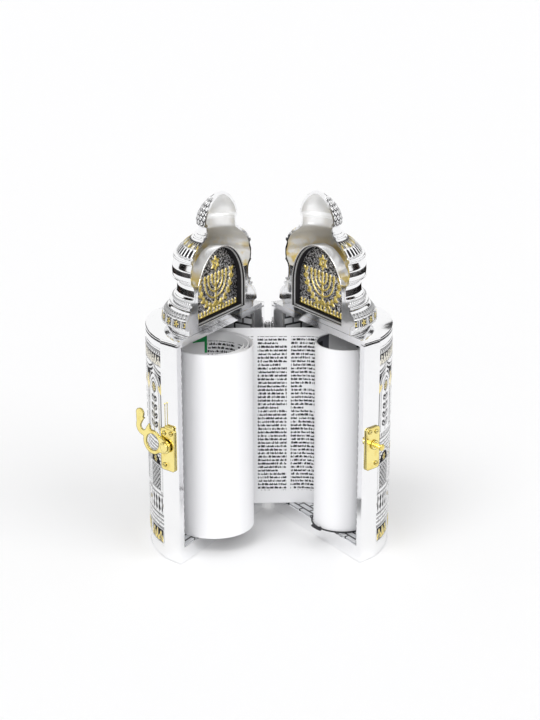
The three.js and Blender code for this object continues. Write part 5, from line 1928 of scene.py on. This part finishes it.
@dataclass
class Studio:
    """Camera at the photograph's angle, pale floor, white surround, soft lamps and dark screens."""

    eye: tuple[float, float, float] = (-0.02187, -1.23586, 0.58281)
    target: tuple[float, float, float] = (0.00565, 0.05622, 0.13630)
    lens: float = 80.0
    sensor: float = 36.0
    ambient: float = 0.62
    floor_size: float = 40.0
    screen_steps: int = 24

    def camera(self) -> None:
        """Place the camera."""
        lens = bpy.data.cameras.new("photo_camera")
        lens.lens, lens.sensor_fit, lens.sensor_height = self.lens, "VERTICAL", self.sensor
        lens.clip_start, lens.clip_end = 0.05, 50.0
        camera = bpy.data.objects.new("photo_camera", lens)
        camera.location = self.eye
        camera.rotation_mode = "QUATERNION"
        camera.rotation_quaternion = (Vector(self.target) - Vector(self.eye)).to_track_quat("-Z", "Y")
        bpy.context.scene.collection.objects.link(camera)
        bpy.context.scene.camera = camera

    def surround(self) -> None:
        """White to the camera and to reflections, a plain level to the rest."""
        world = bpy.data.worlds.new("white_surround")
        world.use_nodes = True
        bpy.context.scene.world = world
        nodes, links = world.node_tree.nodes, world.node_tree.links
        nodes.clear()
        path = nodes.new("ShaderNodeLightPath").outputs
        seen = path["Is Camera Ray"]
        for ray in ("Is Glossy Ray", "Is Transmission Ray"):
            either = nodes.new("ShaderNodeMath")
            either.operation = "MAXIMUM"
            links.new(seen, either.inputs[0])
            links.new(path[ray], either.inputs[1])
            seen = either.outputs[0]
        strength = nodes.new("ShaderNodeMapRange")
        strength.inputs["To Min"].default_value = self.ambient
        strength.inputs["To Max"].default_value = 1.0
        links.new(seen, strength.inputs["Value"])
        light = nodes.new("ShaderNodeBackground")
        links.new(strength.outputs["Result"], light.inputs["Strength"])
        light.inputs["Color"].default_value = (1.0, 1.0, 1.0, 1.0)
        output = nodes.new("ShaderNodeOutputWorld")
        links.new(light.outputs[0], output.inputs["Surface"])

    def lamps(self) -> None:
        """Soft lamps from the upper left, the right and the front."""
        for name, turn, rise, strength, spread in (
                ("key_lamp", -38, 58, 0.8, 28), ("fill_lamp", 55, 40, 0.58, 40), ("front_lamp", -1, 25, 0.6, 16)):
            lamp = bpy.data.lights.new(name, "SUN")
            lamp.energy, lamp.angle = strength, math.radians(spread)
            placed = bpy.data.objects.new(name, lamp)
            around, above = math.radians(turn), math.radians(rise)
            towards = Vector((math.sin(around) * math.cos(above), -math.cos(around) * math.cos(above), math.sin(above)))
            placed.rotation_mode = "QUATERNION"
            placed.rotation_quaternion = towards.to_track_quat("Z", "Y")
            bpy.context.scene.collection.objects.link(placed)

    def floor(self) -> None:
        """Plain pale floor that keeps the shadow."""
        half = self.floor_size / 2
        corners = np.array([(-half, -half, 0), (half, -half, 0), (half, half, 0), (-half, half, 0)])
        shape = Shape()
        shape.polygon(corners)
        ground = shape.build("pale_floor")
        graph = NodeGraph("pale_floor")
        graph.set("Base Color", SILVER)
        graph.set("Roughness", 0.8)
        graph.set("Specular IOR Level", 0.1)
        ground.data.materials.append(graph.material)

    def flags(self) -> None:
        """Dark screens that only the polished metal sees, so that its curves read as in a studio."""
        graph = NodeGraph("dark_screen")
        patches = graph.steps(graph.noise(graph.object_place(), 9.0, 5.0), 0.55, 0.8)
        graph.set("Base Color", graph.mix(patches, (0.008, 0.007, 0.007, 1.0), (0.16, 0.075, 0.04, 1.0)))
        graph.set("Roughness", 1.0)
        graph.set("Specular IOR Level", 0.0)
        for number, (start, end, reach, low, high) in enumerate((
                (92, 204, 0.6, 0.04, 0.1), (88, -24, 0.6, 0.04, 0.1),
                (107, 200, 1.5, 0.5, 0.78), (73, -20, 1.5, 0.5, 0.78))):
            turn = np.radians(np.linspace(start, end, self.screen_steps))
            shape = Shape()
            shape.grid(np.stack([np.stack([reach * np.cos(turn), reach * np.sin(turn), np.full_like(turn, up)], axis=-1)
                                 for up in (low, high)]))
            screen = shape.build(f"dark_screen_{number + 1}")
            screen.data.materials.append(graph.material)
            screen.visible_camera = screen.visible_diffuse = screen.visible_shadow = False
            screen.visible_transmission = False


def dress(nodes: list[str], finish: Finish) -> None:
    """Give carried-over solids their material.

    Args:
        nodes: Names of the solids.
        finish: The material.
    """
    for name in nodes:
        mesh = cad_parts[name].data
        mesh.materials.clear()
        mesh.materials.append(finish)
        log.info("%s: %s", name, finish.name)


def report(pieces: list[Piece]) -> None:
    """Say what was made."""
    for piece in pieces:
        log.info("%s: %d faces", piece.name, len(piece.data.polygons))


def main() -> None:
    """Build the studio, the two halves, the latch, the hinge and the scroll."""
    logging.basicConfig(level=logging.INFO, format="%(message)s")
    bpy.context.scene.view_settings.view_transform = "Standard"
    studio = Studio()
    studio.camera()
    studio.surround()
    studio.lamps()
    studio.floor()
    studio.flags()
    silver = PlatedSilver().build()
    satin, work = SatinSilver().build(), LunetteWork().build()
    brass = CastMetal("cast_brass", bright=(0.96, 0.83, 0.33, 1.0), dull=(0.84, 0.64, 0.17, 1.0),
                      roughness=0.13).build()
    steel = CastMetal("hinge_steel_plate", bright=(0.8, 0.8, 0.81, 1.0), dull=(0.72, 0.72, 0.74, 1.0),
                      roughness=0.2).build()
    brick, felt, elastic = BrickCard().build(), ShortFelt().build(), BraidedElastic().build()
    blank, printed = ScrollPaper("paper_back", False).build(), ScrollPaper("paper_front", True).build()
    scroll = PaperScroll()
    report([*RollTie(scroll).build(elastic), *scroll.build(blank, printed)])
    for side in Side:
        shell, crown = HalfShell(side), HalfCrown(side)
        report([shell.build(silver), ReliefPanel(side).build(silver), *crown.build(silver, satin)])
        report([*Lunette(side, crown).build(silver, work), *Linings(side, shell).build(brick),
                FootFelt(side).build(felt)])
        word = side.word
        dress([f"{word}_latch_plate", *(f"{word}_latch_screw_{n}" for n in (1, 2, 3))], brass)
        dress([f"{word}_hinge_leaf", *(f"{word}_hinge_screw_{n}" for n in (1, 2, 3))], steel)
    dress(["swing_hook", "hook_rivet", "catch_stud"], brass)
    dress(["hinge_pin"], steel)
    report([LatchNeedle().build(brass)])


if __name__ == "__main__":
    main()
